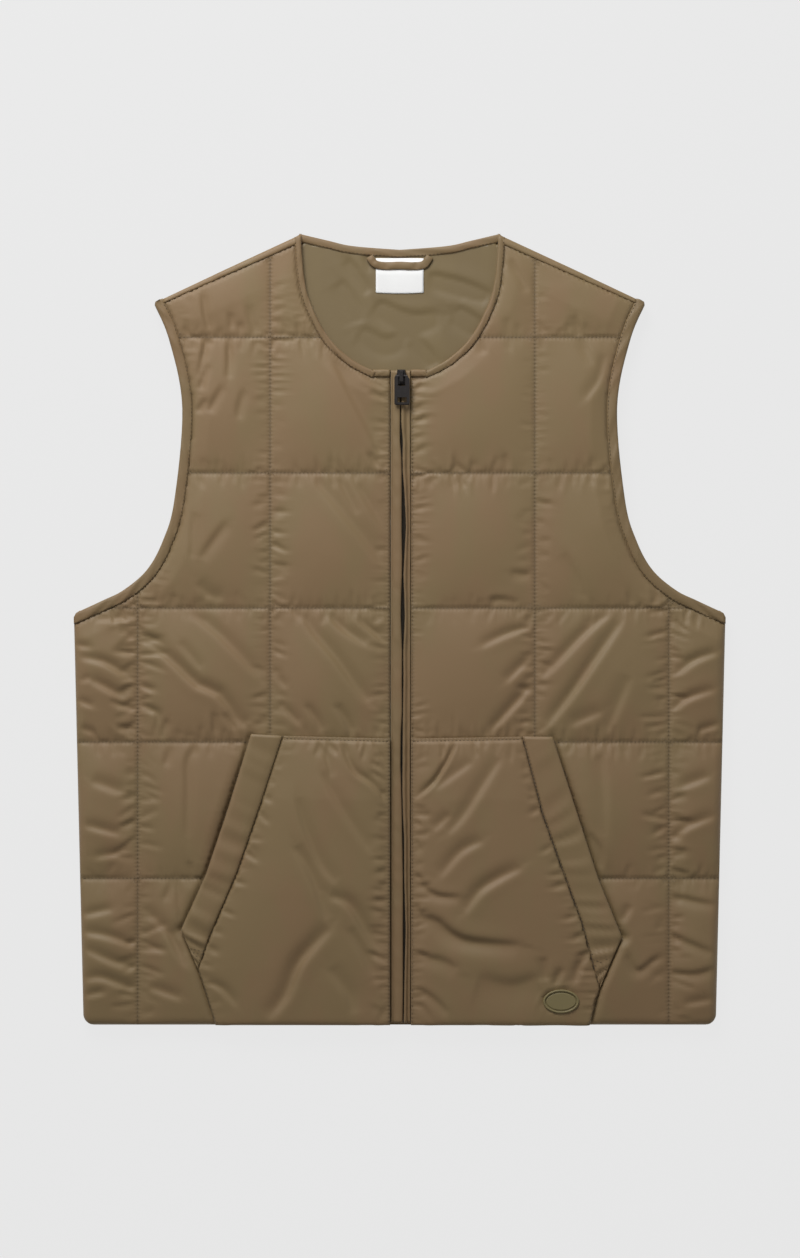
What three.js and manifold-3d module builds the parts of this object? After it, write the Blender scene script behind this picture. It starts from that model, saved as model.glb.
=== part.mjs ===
// A quilted vest with a round neck and a full-length zip, laid flat on its back with its fronts up.
// Millimetres. +X is the wearer's left, +Y runs to the neck, +Z is up. The origin is on the surface
// that the vest lies on, under the middle of its outline. Right and left are the wearer's.
import * as THREE from "three";
import { mergeVertices } from "three/addons/utils/BufferGeometryUtils.js";
import Module from "manifold-3d";

const wasm = await Module();
wasm.setup();

// Driving dimensions of the cut.
const LENGTH = 680; // from the highest point of the shoulder to the hem
const CHEST = 560; // across the front just under the arms
const HEM_WIDTH = 543.4;
const SHOULDER_WIDTH = 423; // from tip to tip
const NECK_WIDTH = 169; // between the highest points of the shoulders
const SHOULDER_DROP = 60; // from those points down to the tips
const FRONT_NECK_DROP = 118;
const BACK_NECK_DROP = 14;
const SIDE_TOP = 13; // height of the underarm corner over the middle of the length
const HEM_ROUND = 9; // radius of the rounded hem corners
const GAP = 0.3; // between pieces that are sewn or lie together

// Widths of the made-up trims.
const ARMHOLE_BINDING = 9;
const NECK_BINDING = 6;
const BACK_NECK_BINDING = 7;

// Layers, from the surface up.
const BACK_THICK = 7;
const LINING_THICK = 1;
const SEAM_THICK = 3; // a padded panel where it is stitched down
const PUFF = 8; // how far a quilted square swells over its stitching
const POCKET_FLOOR = 4; // a front panel pressed flat under its pocket
const POCKET_EDGE = 2.4;
const POCKET_PUFF = 5;
const BAND_THICK = 4;
const BINDING_THICK = 4.6;
const TRIM_ROUND = 1.2; // softens the folded edges of bands and bindings
const FINE_ROUND = 0.8; // softens the edges of the flaps and the slider
const FLOOR_CLEAR = 0.8; // under the back bindings, which don't bear on the surface
const liningBottom = BACK_THICK + GAP;
const liningTop = liningBottom + LINING_THICK;
const frontBottom = liningTop + GAP;
const pocketFloor = frontBottom + POCKET_FLOOR;
const pocketBottom = pocketFloor + GAP;

const TALL = 60; // higher than anything here, for cutting blocks
const EDGE_FALL = 15; // how far in from a curved edge a front reaches its full swell
const POCKET_FALL = 24;
const NECK_END = 20.5; // where the front neck binding stops short of the zip

// The zip and its slider, in the middle of the fronts.
const TAPE_THICK = 2;
const FLAP_THICK = 3;
const ZIP_LIFT = 2; // the zip's end lies this far above the hem
const SLIDER_X = 1.4;
const SLIDER_WIDTH = 8.6;
const SLIDER_LENGTH = 13;
const SLIDER_THICK = 4.4;
const SLIDER_TAPER = 1; // how much narrower each of its ends is, on each side
const SLIDER_WIDEST = 5; // from its neck end to its widest place
const HINGE_BACK = 5.5; // from its neck end to the axis that the tab swings on
const BRIDGE_WIDTH = 3;
const BRIDGE_THICK = 1.3;
const BRIDGE_LEG = 1.5;
const TAB_X = 2;
const TAB_WIDTH = 13;
const TAB_LENGTH = 25;
const TAB_THICK = 1.9;
const TAB_CORNER = 1;
const EYE_WIDTH = 6;
const EYE_END = 8.6; // from the hinge axis to the far side of the tab's eye
const SLOT_WIDTH = 8;
const SLOT_FROM = 2.3; // from the tab's free end
const SLOT_TO = 6.6;

// The label, the hanger loop and the oval patch.
const LABEL_WIDTH = 41;
const LABEL_LENGTH = 30.5;
const LABEL_THICK = 0.6;
const LOOP_THICK = 1.2;
const LOOP_WIDE = 7; // across the loop's gathered tube
const LOOP_DROP = 11.4;
const PATCH_X = 138.4;
const PATCH_Y = -319.2;
const PATCH_WIDTH = 31;
const PATCH_HEIGHT = 20.5;
const PATCH_THICK = 1.5;

const top = LENGTH / 2;
const hem = -LENGTH / 2;
const chest = CHEST / 2;
const hemHalf = HEM_WIDTH / 2;
const neckHalf = NECK_WIDTH / 2;
const frontNeck = top - FRONT_NECK_DROP;
const backNeck = top - BACK_NECK_DROP;
const tapeTop = frontBottom + TAPE_THICK;
const flapTop = tapeTop + GAP + FLAP_THICK;
const patchFloor = pocketBottom + POCKET_EDGE + 1.8;
const sliderTop = frontNeck + 0.5;
const sliderBodyTop = tapeTop + GAP + SLIDER_THICK;
const hingeY = sliderTop - HINGE_BACK;
const hingeZ = sliderBodyTop + GAP + TAB_THICK / 2;
const bridgeTop = hingeZ + TAB_THICK / 2 + GAP + BRIDGE_THICK;

// The slit between the zip flaps, from the hem up: its middle and how far it gapes.
const zipSlit = [
  { y: hem + ZIP_LIFT, x: 2.6, open: 0.8 },
  { y: -220, x: 3.2, open: 1.9 },
  { y: 0, x: 3.1, open: 2 },
  { y: 76, x: 2.9, open: 3.2 },
  { y: 138, x: 2.2, open: 0.7 },
  { y: 162, x: 1.4, open: 1.5 },
  { y: 190, x: 1, open: 0.6 },
  { y: frontNeck, x: SLIDER_X, open: 0.6 },
];

// The quilting: rows of stitching across the body and columns down each front, square cells.
const CELL = 116;
const FIRST_ROW = -214; // the lowest stitched row, over the hem
const stitchRows = [hem, ...[0, 1, 2, 3, 4].map((i) => FIRST_ROW + i * CELL), top + 20];
const GRID_PER_CELL = 10;

// What differs between the two fronts. side is -1 for the wearer's right front and 1 for the left.
const fronts = {
  right: {
    side: -1,
    zipEdge: 7.9, // from the middle out to the seam of the zip flap
    columns: [111.3, 225],
    pocket: {
      topInner: [8.2, -94], topCorner: [127.6, -90], mouthMiddle: [166.2, -210.6],
      mouthCorner: [187.7, -258], seamMiddle: [173, -291.7], seamHem: [158, hem],
      bandTop: [100, -94], bandUpper: [119, -150], bandLower: [139.6, -209.4], bandTip: [162.8, -263.4],
    },
    // Soft folds pressed into the cloth: from, to, depth (down is negative) and half width.
    folds: [
      { from: [224, -6], to: [181, -68], depth: 3.5, width: 11 },
      { from: [207, -38], to: [150, -70], depth: -3.5, width: 12 },
      { from: [180, 10], to: [121, -44], depth: 2.5, width: 13 },
      { from: [272, -22], to: [229, -44], depth: -3, width: 9 },
      { from: [276, -62], to: [234, -80], depth: 2.5, width: 9 },
      { from: [108, -30], to: [30, -84], depth: -2.5, width: 13 },
      { from: [96, 6], to: [20, -52], depth: 2.5, width: 13 },
      { from: [73, 131], to: [14, 50], depth: -3.5, width: 12 },
      { from: [56, 232], to: [12, 142], depth: -3, width: 12 },
      { from: [146, 240], to: [160, 150], depth: -2.5, width: 13 },
      { from: [176, 130], to: [122, 44], depth: 2.5, width: 14 },
      { from: [268, -130], to: [232, -150], depth: 3, width: 9 },
      { from: [270, -250], to: [228, -268], depth: -3, width: 10 },
      { from: [262, -300], to: [232, -290], depth: 3, width: 9 },
      { from: [214, -112], to: [196, -190], depth: -2.5, width: 12 },
      { from: [216, -236], to: [176, -322], depth: -2.5, width: 12 },
    ],
    pocketFolds: [
      { from: [63, -96], to: [16, -208], depth: 2.2, width: 13 },
      { from: [112, -338], to: [58, -262], depth: 3, width: 12 },
      { from: [128, -232], to: [40, -318], depth: -2.2, width: 13 },
      { from: [104, -150], to: [60, -240], depth: -1.8, width: 14 },
    ],
  },
  left: {
    side: 1,
    zipEdge: 9.3,
    columns: [116, 231],
    pocket: {
      topInner: [9.6, -94], topCorner: [131.5, -93.5], mouthMiddle: [170.2, -213.6],
      mouthCorner: [190.7, -264.3], seamMiddle: [171.5, -308], seamHem: [163.3, hem],
      bandTop: [106.3, -98], bandUpper: [123, -159.6], bandLower: [138.8, -204.2], bandTip: [156.4, -252.3],
    },
    folds: [
      { from: [187, 4], to: [123, -88], depth: -3.5, width: 12 },
      { from: [178, 12], to: [120, -42], depth: 2.5, width: 12 },
      { from: [210, -10], to: [172, -78], depth: 2.5, width: 13 },
      { from: [116, 4], to: [86, -8], depth: -3, width: 10 },
      { from: [115, -45], to: [104, -79], depth: -2.5, width: 12 },
      { from: [70, 8], to: [36, -82], depth: 2, width: 13 },
      { from: [274, -34], to: [240, -62], depth: -3, width: 9 },
      { from: [270, -84], to: [236, -70], depth: 2.5, width: 9 },
      { from: [136, 126], to: [150, 44], depth: -2.5, width: 13 },
      { from: [170, 240], to: [140, 160], depth: 2.5, width: 13 },
      { from: [96, 112], to: [30, 96], depth: -2, width: 12 },
      { from: [266, -136], to: [238, -160], depth: 3, width: 9 },
      { from: [268, -258], to: [236, -244], depth: -3, width: 10 },
      { from: [262, -304], to: [236, -318], depth: 3, width: 9 },
      { from: [216, -120], to: [200, -196], depth: 2.5, width: 12 },
      { from: [210, -246], to: [186, -320], depth: -2.5, width: 12 },
    ],
    pocketFolds: [
      { from: [48, -101], to: [15, -146], depth: -2.6, width: 10 },
      { from: [118, -170], to: [26, -252], depth: 2.2, width: 13 },
      { from: [132, -262], to: [40, -300], depth: -2.2, width: 12 },
      { from: [70, -256], to: [20, -322], depth: 2.4, width: 11 },
    ],
  },
};

// Colours and finishes.
const shellCloth = new THREE.MeshStandardMaterial({ color: 0x7d684d, roughness: 0.55, metalness: 0 });
const trimCloth = new THREE.MeshStandardMaterial({ color: 0x75614a, roughness: 0.6, metalness: 0 });
const liningCloth = new THREE.MeshStandardMaterial({ color: 0x7e7055, roughness: 0.5, metalness: 0 });
const patchCloth = new THREE.MeshStandardMaterial({ color: 0x6c6140, roughness: 0.5, metalness: 0 });
const labelCloth = new THREE.MeshStandardMaterial({ color: 0xf4f3f0, roughness: 0.7, metalness: 0 });
const zipCoil = new THREE.MeshStandardMaterial({ color: 0x241d15, roughness: 0.5, metalness: 0 });
const blackMetal = new THREE.MeshStandardMaterial({ color: 0x2c2a29, roughness: 0.4, metalness: 0.4 });

const garment = new THREE.Group();

// Adds one named piece to the garment.
function addPiece(name, geometry, material) {
  const mesh = new THREE.Mesh(geometry, material);
  mesh.name = name;
  garment.add(mesh);
}

// A closed geometry as a solid that can be joined and cut.
function toSolid(geometry) {
  const plain = geometry.clone();
  plain.deleteAttribute("normal");
  plain.deleteAttribute("uv");
  const merged = mergeVertices(plain, 1e-3);
  return new wasm.Manifold(new wasm.Mesh({
    numProp: 3,
    vertProperties: merged.attributes.position.array,
    triVerts: new Uint32Array(merged.index.array),
  }));
}

// A joined or cut solid as a geometry again.
function toGeometry(solid) {
  const { vertProperties, triVerts } = solid.getMesh();
  const geometry = new THREE.BufferGeometry();
  geometry.setAttribute("position", new THREE.BufferAttribute(vertProperties, 3));
  geometry.setIndex(new THREE.BufferAttribute(triVerts, 1));
  return geometry;
}

// A flat outline, in X and Y, made thick from low to high. round softens its upper and lower edges.
function slab(outline, low, high, round = 0) {
  const geometry = new THREE.ExtrudeGeometry(new THREE.Shape(outline), {
    depth: high - low - 2 * round,
    bevelEnabled: round > 0,
    bevelThickness: round,
    bevelSize: round,
    bevelOffset: -round,
    bevelSegments: 1,
  });
  geometry.translate(0, 0, low + round);
  return geometry;
}

const point = (x, y) => new THREE.Vector2(x, y);
const mirrored = (line, side) => line.map((p) => point(side * p.x, p.y));

// A smooth curve through a few points, as a run of count short steps.
function smoothCurve(points, count) {
  return new THREE.SplineCurve(points.map(([x, y]) => point(x, y))).getPoints(count);
}

// The same line moved sideways by a distance, to the left of its direction.
function alongside(line, distance) {
  return line.map((p, i) => {
    const before = line[Math.max(i - 1, 0)];
    const after = line[Math.min(i + 1, line.length - 1)];
    const along = after.clone().sub(before).normalize();
    return point(p.x - along.y * distance, p.y + along.x * distance);
  });
}

// The cut's main lines, for the half with positive X.
const tip = point(SHOULDER_WIDTH / 2, top - SHOULDER_DROP);
const shoulderNeck = point(neckHalf + NECK_BINDING + 0.6, top - 3.5);
const shoulderSeamNeck = point(shoulderNeck.x, shoulderNeck.y - 7);
const armhole = smoothCurve([
  [tip.x, tip.y], [198, 248], [186.8, 190], [193.6, 110.7], [203.4, 76],
  [217, 51], [237, 33.6], [255, 24.6], [chest, SIDE_TOP],
], 34);
const armholeSeam = alongside(armhole, -ARMHOLE_BINDING);
const panelArmhole = alongside(armhole, -ARMHOLE_BINDING - GAP);
const neckEdge = smoothCurve([
  [neckHalf, top], [83.8, 322], [80.2, 292], [71.6, 269], [59.9, 249], [44.9, 234.4], [32, 226.2], [20.5, 221],
], 26);
const neckSeam = alongside(neckEdge, NECK_BINDING);
const panelNeck = alongside(neckEdge, NECK_BINDING + GAP);
const panelNeckEnd = panelNeck.at(-1).clone().add(point(-2 * GAP, 0));

// The back neck's edge, from the wearer's left shoulder to the right one.
const backNeckEdge = smoothCurve([
  [neckHalf - 1.4, top - 0.4], [62, top - 6], [40, top - 10.8], [0, backNeck],
  [-40, top - 10.8], [-62, top - 6], [1.4 - neckHalf, top - 0.4],
], 28);

// The hem, from the middle of a front round its corner and up the side, for positive X.
function hemAndSide(inner, lift) {
  const sideLean = (chest - hemHalf) / (SIDE_TOP - hem);
  const corner = new THREE.EllipseCurve(
    hemHalf - HEM_ROUND, hem + HEM_ROUND, HEM_ROUND, HEM_ROUND, -Math.PI / 2, 0,
  );
  const upper = point(chest - sideLean * (ARMHOLE_BINDING + GAP), SIDE_TOP - ARMHOLE_BINDING - 0.6);
  return [point(inner, hem + lift), ...corner.getPoints(4), upper];
}

// An outline grown outwards. It runs against the clock's hands.
function grown(outline, distance) {
  return outline.map((p, i) => {
    const before = outline[(i + outline.length - 1) % outline.length];
    const after = outline[(i + 1) % outline.length];
    const into = p.clone().sub(before).normalize();
    const out = after.clone().sub(p).normalize();
    const normal = point(into.y + out.y, -into.x - out.x).normalize();
    return p.clone().addScaledVector(normal, distance / Math.max(0.5, normal.x * into.y - normal.y * into.x));
  });
}

// The oval patch's outline, grown by a margin.
function oval(margin) {
  const curve = new THREE.EllipseCurve(PATCH_X, PATCH_Y, PATCH_WIDTH / 2 + margin, PATCH_HEIGHT / 2 + margin);
  return curve.getPoints(28).slice(0, -1);
}

// The slider's body from above, widest near its neck end.
const sliderEnd = SLIDER_WIDTH / 2 - SLIDER_TAPER;
const sliderOutline = [
  point(SLIDER_X - sliderEnd, sliderTop - SLIDER_LENGTH),
  point(SLIDER_X + sliderEnd, sliderTop - SLIDER_LENGTH),
  point(SLIDER_X + SLIDER_WIDTH / 2, sliderTop - SLIDER_WIDEST),
  point(SLIDER_X + sliderEnd, sliderTop),
  point(SLIDER_X - sliderEnd, sliderTop),
  point(SLIDER_X - SLIDER_WIDTH / 2, sliderTop - SLIDER_WIDEST),
];

// Whether a point lies inside a closed outline.
function isInside(outline, p) {
  let inside = false;
  outline.forEach((a, i) => {
    const b = outline[(i + 1) % outline.length];
    if (a.y > p.y !== b.y > p.y && p.x < ((b.x - a.x) * (p.y - a.y)) / (b.y - a.y) + a.x) inside = !inside;
  });
  return inside;
}

// How far a point is from a straight run between two points, and how far along the run it falls.
function fromRun(p, a, b) {
  const run = b.clone().sub(a);
  const share = THREE.MathUtils.clamp(p.clone().sub(a).dot(run) / run.lengthSq(), 0, 1);
  return { distance: p.distanceTo(a.clone().addScaledVector(run, share)), share };
}

// The depth inside a closed outline: 0 on it and outside it.
function depthInside(outline, p) {
  if (!isInside(outline, p)) return 0;
  return Math.min(...outline.map((a, i) => fromRun(p, a, outline[(i + 1) % outline.length]).distance));
}

// The swell of padding between two lines of stitching, from 0 on a line to 1 halfway.
function swell(lines, value) {
  const next = lines.findIndex((line) => line > value);
  if (next < 1) return 0;
  const share = (value - lines[next - 1]) / (lines[next] - lines[next - 1]);
  return Math.sin(Math.PI * share) ** 0.55;
}

// The rise or fall that a list of folds gives at a point.
function foldRise(folds, p) {
  return folds.reduce((sum, { from, to, depth, width }) => {
    const { distance, share } = fromRun(p, point(...from), point(...to));
    const taper = 0.35 + 0.65 * Math.sin(Math.PI * share);
    return sum + depth * taper * Math.exp(-((distance / width) ** 2));
  }, 0);
}

// Even steps between each pair of lines, all close to the grid's own step.
function gridLines(lines) {
  const step = CELL / GRID_PER_CELL;
  const found = [lines[0]];
  lines.slice(1).forEach((line, i) => {
    const count = Math.max(1, Math.round((line - lines[i]) / step));
    for (let k = 1; k <= count; k += 1) found.push(lines[i] + ((line - lines[i]) * k) / count);
  });
  return found;
}

// A closed block over a grid, its upper face lifted to height(x, y). Its floor is at z = 0.
function liftedBlock(xs, ys, height) {
  const geometry = new THREE.BoxGeometry(1, 1, 1, xs.length - 1, ys.length - 1, 1);
  const position = geometry.attributes.position;
  for (let i = 0; i < position.count; i += 1) {
    const x = xs[Math.round((position.getX(i) + 0.5) * (xs.length - 1))];
    const y = ys[Math.round((position.getY(i) + 0.5) * (ys.length - 1))];
    position.setXYZ(i, x, y, position.getZ(i) > 0 ? height(x, y) : 0);
  }
  return geometry;
}

// A padded panel: the block under its swollen face, cut to the panel's outline over its plain inside.
function paddedPanel(outline, xs, ys, low, height) {
  return toSolid(liftedBlock(xs, ys, height)).intersect(toSolid(slab(outline, low, TALL)));
}

// The outlines of a pocket and of its mouth band, for positive X.
function pocketOutlines(pocket) {
  const seam = [point(...pocket.seamMiddle), point(...pocket.mouthCorner)];
  const stitched = smoothCurve([pocket.bandTop, pocket.bandUpper, pocket.bandLower, pocket.bandTip], 8);
  const mouth = smoothCurve([pocket.mouthCorner, pocket.mouthMiddle, pocket.topCorner], 8);
  const inner = stitched.map((p) => point(p.x - GAP, p.y)).reverse();
  const [zipX, topY] = pocket.topInner;
  const seamHem = point(...pocket.seamHem);
  return {
    whole: [point(zipX, hem), seamHem, seam[0], ...mouth, point(zipX, topY)],
    body: [
      point(zipX + GAP, hem), seamHem, point(seam[0].x - GAP, seam[0].y - GAP),
      ...inner, point(zipX + GAP, topY),
    ],
    band: [seam[0], ...mouth, ...stitched],
  };
}

// The back: a padded slab, flat underneath, whose shoulders turn over to the front as far as the seam.
function makeBack() {
  const round = 2;
  const half = [...hemAndSide(0, 0), ...[...panelArmhole].reverse(), shoulderNeck];
  const neck = backNeckEdge.map((p) => point(p.x, p.y - BACK_NECK_BINDING - GAP));
  const outline = [...half.slice(1), ...neck, ...mirrored(half.slice(1), -1).reverse()];
  const seamEnd = panelArmhole[0];
  const onSeam = (share) => shoulderSeamNeck.clone().lerp(seamEnd, share).add(point(0, GAP));
  const foldEnd = shoulderNeck.clone().lerp(tip, 0.86);
  const turnover = [onSeam(0.01), onSeam(0.92), foldEnd, shoulderNeck];
  const turnedTop = frontBottom + SEAM_THICK + 1;
  let solid = toSolid(slab(outline, 0, BACK_THICK, round));
  for (const side of [-1, 1]) {
    const strip = side > 0 ? turnover : mirrored(turnover, -1).reverse();
    solid = solid.add(toSolid(slab(strip, round, turnedTop)));
  }
  return toGeometry(solid);
}

// The lining lies on the back as one plain sheet, a little inside its edges.
function makeLining() {
  const inset = 3;
  const side = hemAndSide(0, inset).slice(1).map((p) => point(p.x - inset, Math.max(p.y, hem + inset)));
  const arm = alongside(panelArmhole.slice(1, -1), -1).reverse();
  const half = [...side, ...arm, point(shoulderSeamNeck.x + 6, shoulderSeamNeck.y - 5)];
  const neck = backNeckEdge.slice(2, -2).map((p) => point(p.x, p.y - BACK_NECK_BINDING - GAP));
  return slab([...half, ...neck, ...mirrored(half, -1).reverse()], liningBottom, liningTop);
}

addPiece("back_panel", makeBack(), shellCloth);
addPiece("back_lining", makeLining(), liningCloth);

// A front: quilted, pressed flat under its pocket, with a lip down its side that meets the back's side.
function makeFront({ zipEdge, columns, pocket, folds }) {
  const inner = zipEdge + GAP;
  const { whole } = pocketOutlines(pocket);
  const outline = [
    ...hemAndSide(inner, 0), ...[...panelArmhole].reverse(),
    point(shoulderSeamNeck.x, shoulderSeamNeck.y - GAP), ...panelNeck.slice(3), panelNeckEnd, point(NECK_END - 3 * GAP, frontNeck), point(inner, frontNeck),
  ];
  const puffColumns = [inner, ...columns, chest];
  const height = (x, y) => {
    const p = point(x, y);
    const edge = Math.min(1, depthInside(outline, p) / EDGE_FALL) ** 0.6;
    const puff = swell(puffColumns, x) * swell(stitchRows, y);
    const raised = edge * (puff * PUFF + Math.min(1, puff * 2) * foldRise(folds, p));
    return Math.max(frontBottom + SEAM_THICK + Math.max(raised, 0), isInside(whole, p) ? pocketFloor : 0);
  };
  const xs = [0, ...gridLines(puffColumns), chest + 5];
  const panel = paddedPanel(outline, xs, gridLines(stitchRows), frontBottom, height);
  const side = hemAndSide(inner, 0).slice(-2);
  const lipWidth = 2.5;
  const lip = [...side, ...side.map((p) => point(p.x - lipWidth, p.y)).reverse()];
  return panel
    .add(toSolid(slab(lip, BACK_THICK + GAP, frontBottom + 1)))
    .subtract(toSolid(slab(grown(whole, GAP), pocketFloor, TALL)));
}

// A pocket: a padded patch that swells from its stitched edges.
function makePocket({ pocket, pocketFolds }) {
  const { body } = pocketOutlines(pocket);
  const height = (x, y) => {
    const p = point(x, y);
    const edge = Math.min(1, depthInside(body, p) / POCKET_FALL) ** 0.6;
    return pocketBottom + POCKET_EDGE + Math.max(0, edge * (POCKET_PUFF + foldRise(pocketFolds, p)));
  };
  const xs = gridLines([0, pocket.topInner[0] + GAP, pocket.mouthCorner[0]]);
  return paddedPanel(body, xs, gridLines([hem, pocket.topCorner[1] + 5]), pocketBottom, height);
}

for (const [name, front] of Object.entries(fronts)) {
  const onItsSide = (solid) => toGeometry(front.side > 0 ? solid : solid.mirror([1, 0, 0]));
  const band = slab(pocketOutlines(front.pocket).band, pocketBottom, pocketBottom + BAND_THICK, TRIM_ROUND);
  let pocket = makePocket(front);
  if (front.side > 0) pocket = pocket.subtract(toSolid(slab(oval(GAP), patchFloor, TALL)));
  addPiece(`front_${name}`, onItsSide(makeFront(front)), shellCloth);
  addPiece(`pocket_${name}`, onItsSide(pocket), shellCloth);
  addPiece(`pocket_band_${name}`, onItsSide(toSolid(band)), shellCloth);
}

// The bindings: tape folded over the raw edges of the neck and of both layers of the armholes.
const between = (edge, seam) => [...edge, ...[...seam].reverse()];

for (const [name, side] of [["right", -1], ["left", 1]]) {
  const onItsSide = (outline, low, high) => {
    const solid = toSolid(slab(outline, low, high, TRIM_ROUND));
    return toGeometry(side > 0 ? solid : solid.mirror([1, 0, 0]));
  };
  const arm = between(armhole, armholeSeam);
  const neck = between(neckEdge, neckSeam);
  const bindingTop = frontBottom + BINDING_THICK;
  addPiece(`neck_binding_${name}`, onItsSide(neck, frontBottom, bindingTop), trimCloth);
  addPiece(`armhole_binding_front_${name}`, onItsSide(arm, frontBottom, bindingTop), trimCloth);
  addPiece(`armhole_binding_back_${name}`, onItsSide(arm, FLOOR_CLEAR, liningTop), trimCloth);
}

const backNeckSeam = backNeckEdge.map((p) => point(p.x, p.y - BACK_NECK_BINDING));
const backNeckOutline = between(backNeckEdge, backNeckSeam);
const backBinding = slab(backNeckOutline, FLOOR_CLEAR, liningTop + TRIM_ROUND, TRIM_ROUND);
addPiece("neck_binding_back", backBinding, trimCloth);

// The zip: tape and coil between the fronts, and a folded flap of cloth over each half of it.
const zipLow = hem + ZIP_LIFT;
const zipLeft = fronts.left.zipEdge;
const zipRight = -fronts.right.zipEdge;
const slitLeft = zipSlit.map(({ y, x, open }) => point(x + open / 2, y));
const slitRight = zipSlit.map(({ y, x, open }) => point(x - open / 2, y));
const sliderRoom = toSolid(slab(grown(sliderOutline, GAP), tapeTop, TALL));
const flaps = [
  ["right", [point(zipRight, zipLow), ...slitRight, point(zipRight, frontNeck)]],
  ["left", [...slitLeft, point(zipLeft, frontNeck), point(zipLeft, zipLow)]],
];
for (const [name, outline] of flaps) {
  const flap = toSolid(slab(outline, tapeTop + GAP, flapTop, FINE_ROUND)).subtract(sliderRoom);
  addPiece(`zip_flap_${name}`, toGeometry(flap), trimCloth);
}
const tape = new THREE.BoxGeometry(zipLeft - zipRight, frontNeck - zipLow, TAPE_THICK);
tape.translate((zipLeft + zipRight) / 2, (frontNeck + zipLow) / 2, frontBottom + TAPE_THICK / 2);
addPiece("zip_tape", tape, zipCoil);

// A side view, in Y and Z, made wide along X about a middle.
function acrossX(outline, holes, middle, width) {
  const shape = new THREE.Shape(outline);
  shape.holes = holes.map((hole) => new THREE.Path(hole));
  const geometry = new THREE.ExtrudeGeometry(shape, { depth: width, bevelEnabled: false });
  geometry.applyMatrix4(new THREE.Matrix4().makeBasis(
    new THREE.Vector3(0, 1, 0), new THREE.Vector3(0, 0, 1), new THREE.Vector3(1, 0, 0),
  ));
  geometry.translate(middle - width / 2, 0, 0);
  return geometry;
}

// The slider: a tapered body with an arched bridge that the pull tab swings on.
function makeSlider() {
  const rear = sliderTop - SLIDER_LENGTH + 1.2;
  const front = sliderTop - 0.4;
  const foot = sliderBodyTop - 1;
  const crown = bridgeTop - BRIDGE_LEG;
  const ceiling = bridgeTop - BRIDGE_THICK;
  const arch = [
    point(rear, foot), point(front, foot), point(front, crown),
    point(front - BRIDGE_LEG, bridgeTop), point(rear + BRIDGE_LEG, bridgeTop), point(rear, crown),
  ];
  const window = [
    point(rear + BRIDGE_LEG, sliderBodyTop), point(rear + BRIDGE_LEG, ceiling),
    point(front - BRIDGE_LEG, ceiling), point(front - BRIDGE_LEG, sliderBodyTop),
  ];
  const body = toSolid(slab(sliderOutline, tapeTop + GAP, sliderBodyTop, FINE_ROUND));
  return toGeometry(body.add(toSolid(acrossX(arch, [window], SLIDER_X, BRIDGE_WIDTH))));
}

// The pull tab: a flat plate with an eye for the bridge and a slot at its free end. Its hinge end is round.
function makePullTab() {
  const half = TAB_THICK / 2;
  const low = hingeY - TAB_LENGTH;
  const left = TAB_X + TAB_WIDTH / 2;
  const right = TAB_X - TAB_WIDTH / 2;
  const round = new THREE.EllipseCurve(hingeY, hingeZ, half, half, -Math.PI / 2, Math.PI / 2).getPoints(8);
  const bevel = low + half / 2;
  const freeEnd = [point(bevel, hingeZ + half), point(low, hingeZ), point(bevel, hingeZ - half)];
  const plan = [
    point(right + TAB_CORNER, low), point(left - TAB_CORNER, low), point(left, low + TAB_CORNER),
    point(left, hingeY - 3), point(left - 2.4, hingeY + 1),
    point(right + 1.2, hingeY + 1), point(right, hingeY - 1.5), point(right, low + TAB_CORNER),
  ];
  const cut = (middleX, width, from, to) => {
    const box = new THREE.BoxGeometry(width, to - from, 10);
    return toSolid(box.translate(middleX, (from + to) / 2, hingeZ));
  };
  return toGeometry(
    toSolid(acrossX([...round, ...freeEnd], [], TAB_X, TAB_WIDTH + 1))
      .intersect(toSolid(slab(plan, 0, TALL)))
      .subtract(cut(SLIDER_X + GAP, EYE_WIDTH, hingeY - EYE_END, hingeY - half / 2))
      .subtract(cut(TAB_X, SLOT_WIDTH, low + SLOT_FROM, low + SLOT_TO)),
  );
}

addPiece("zip_slider", makeSlider(), blackMetal);
addPiece("zip_pull_tab", makePullTab(), blackMetal);

// The label hangs from the back neck binding, with the hanger loop across it.
const label = new THREE.BoxGeometry(LABEL_WIDTH, LABEL_LENGTH, LABEL_THICK);
label.translate(0, backNeck - BACK_NECK_BINDING - GAP - LABEL_LENGTH / 2, liningTop + GAP + LABEL_THICK / 2);
addPiece("neck_label", label, labelCloth);
const loopBottom = liningTop + LABEL_THICK + 2 * GAP;
const loopHigh = backNeck - BACK_NECK_BINDING + 1;
const loopLow = loopHigh - LOOP_DROP;
const loopOutline = [
  point(-28.5, loopHigh), point(-20, loopLow), point(20, loopLow), point(28, loopHigh),
  point(28.5 - LOOP_WIDE, loopHigh), point(17, loopLow + LOOP_WIDE),
  point(-17, loopLow + LOOP_WIDE), point(LOOP_WIDE - 28.5, loopHigh),
];
addPiece("hanger_loop", slab(loopOutline, loopBottom, loopBottom + LOOP_THICK), trimCloth);
const patchBottom = patchFloor + GAP;
addPiece("oval_patch", slab(oval(0), patchBottom, patchBottom + PATCH_THICK, FINE_ROUND / 2), patchCloth);

export default garment;
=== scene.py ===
import bmesh
import bpy
import numpy as np
from mathutils import Euler, Matrix, Vector


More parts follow.
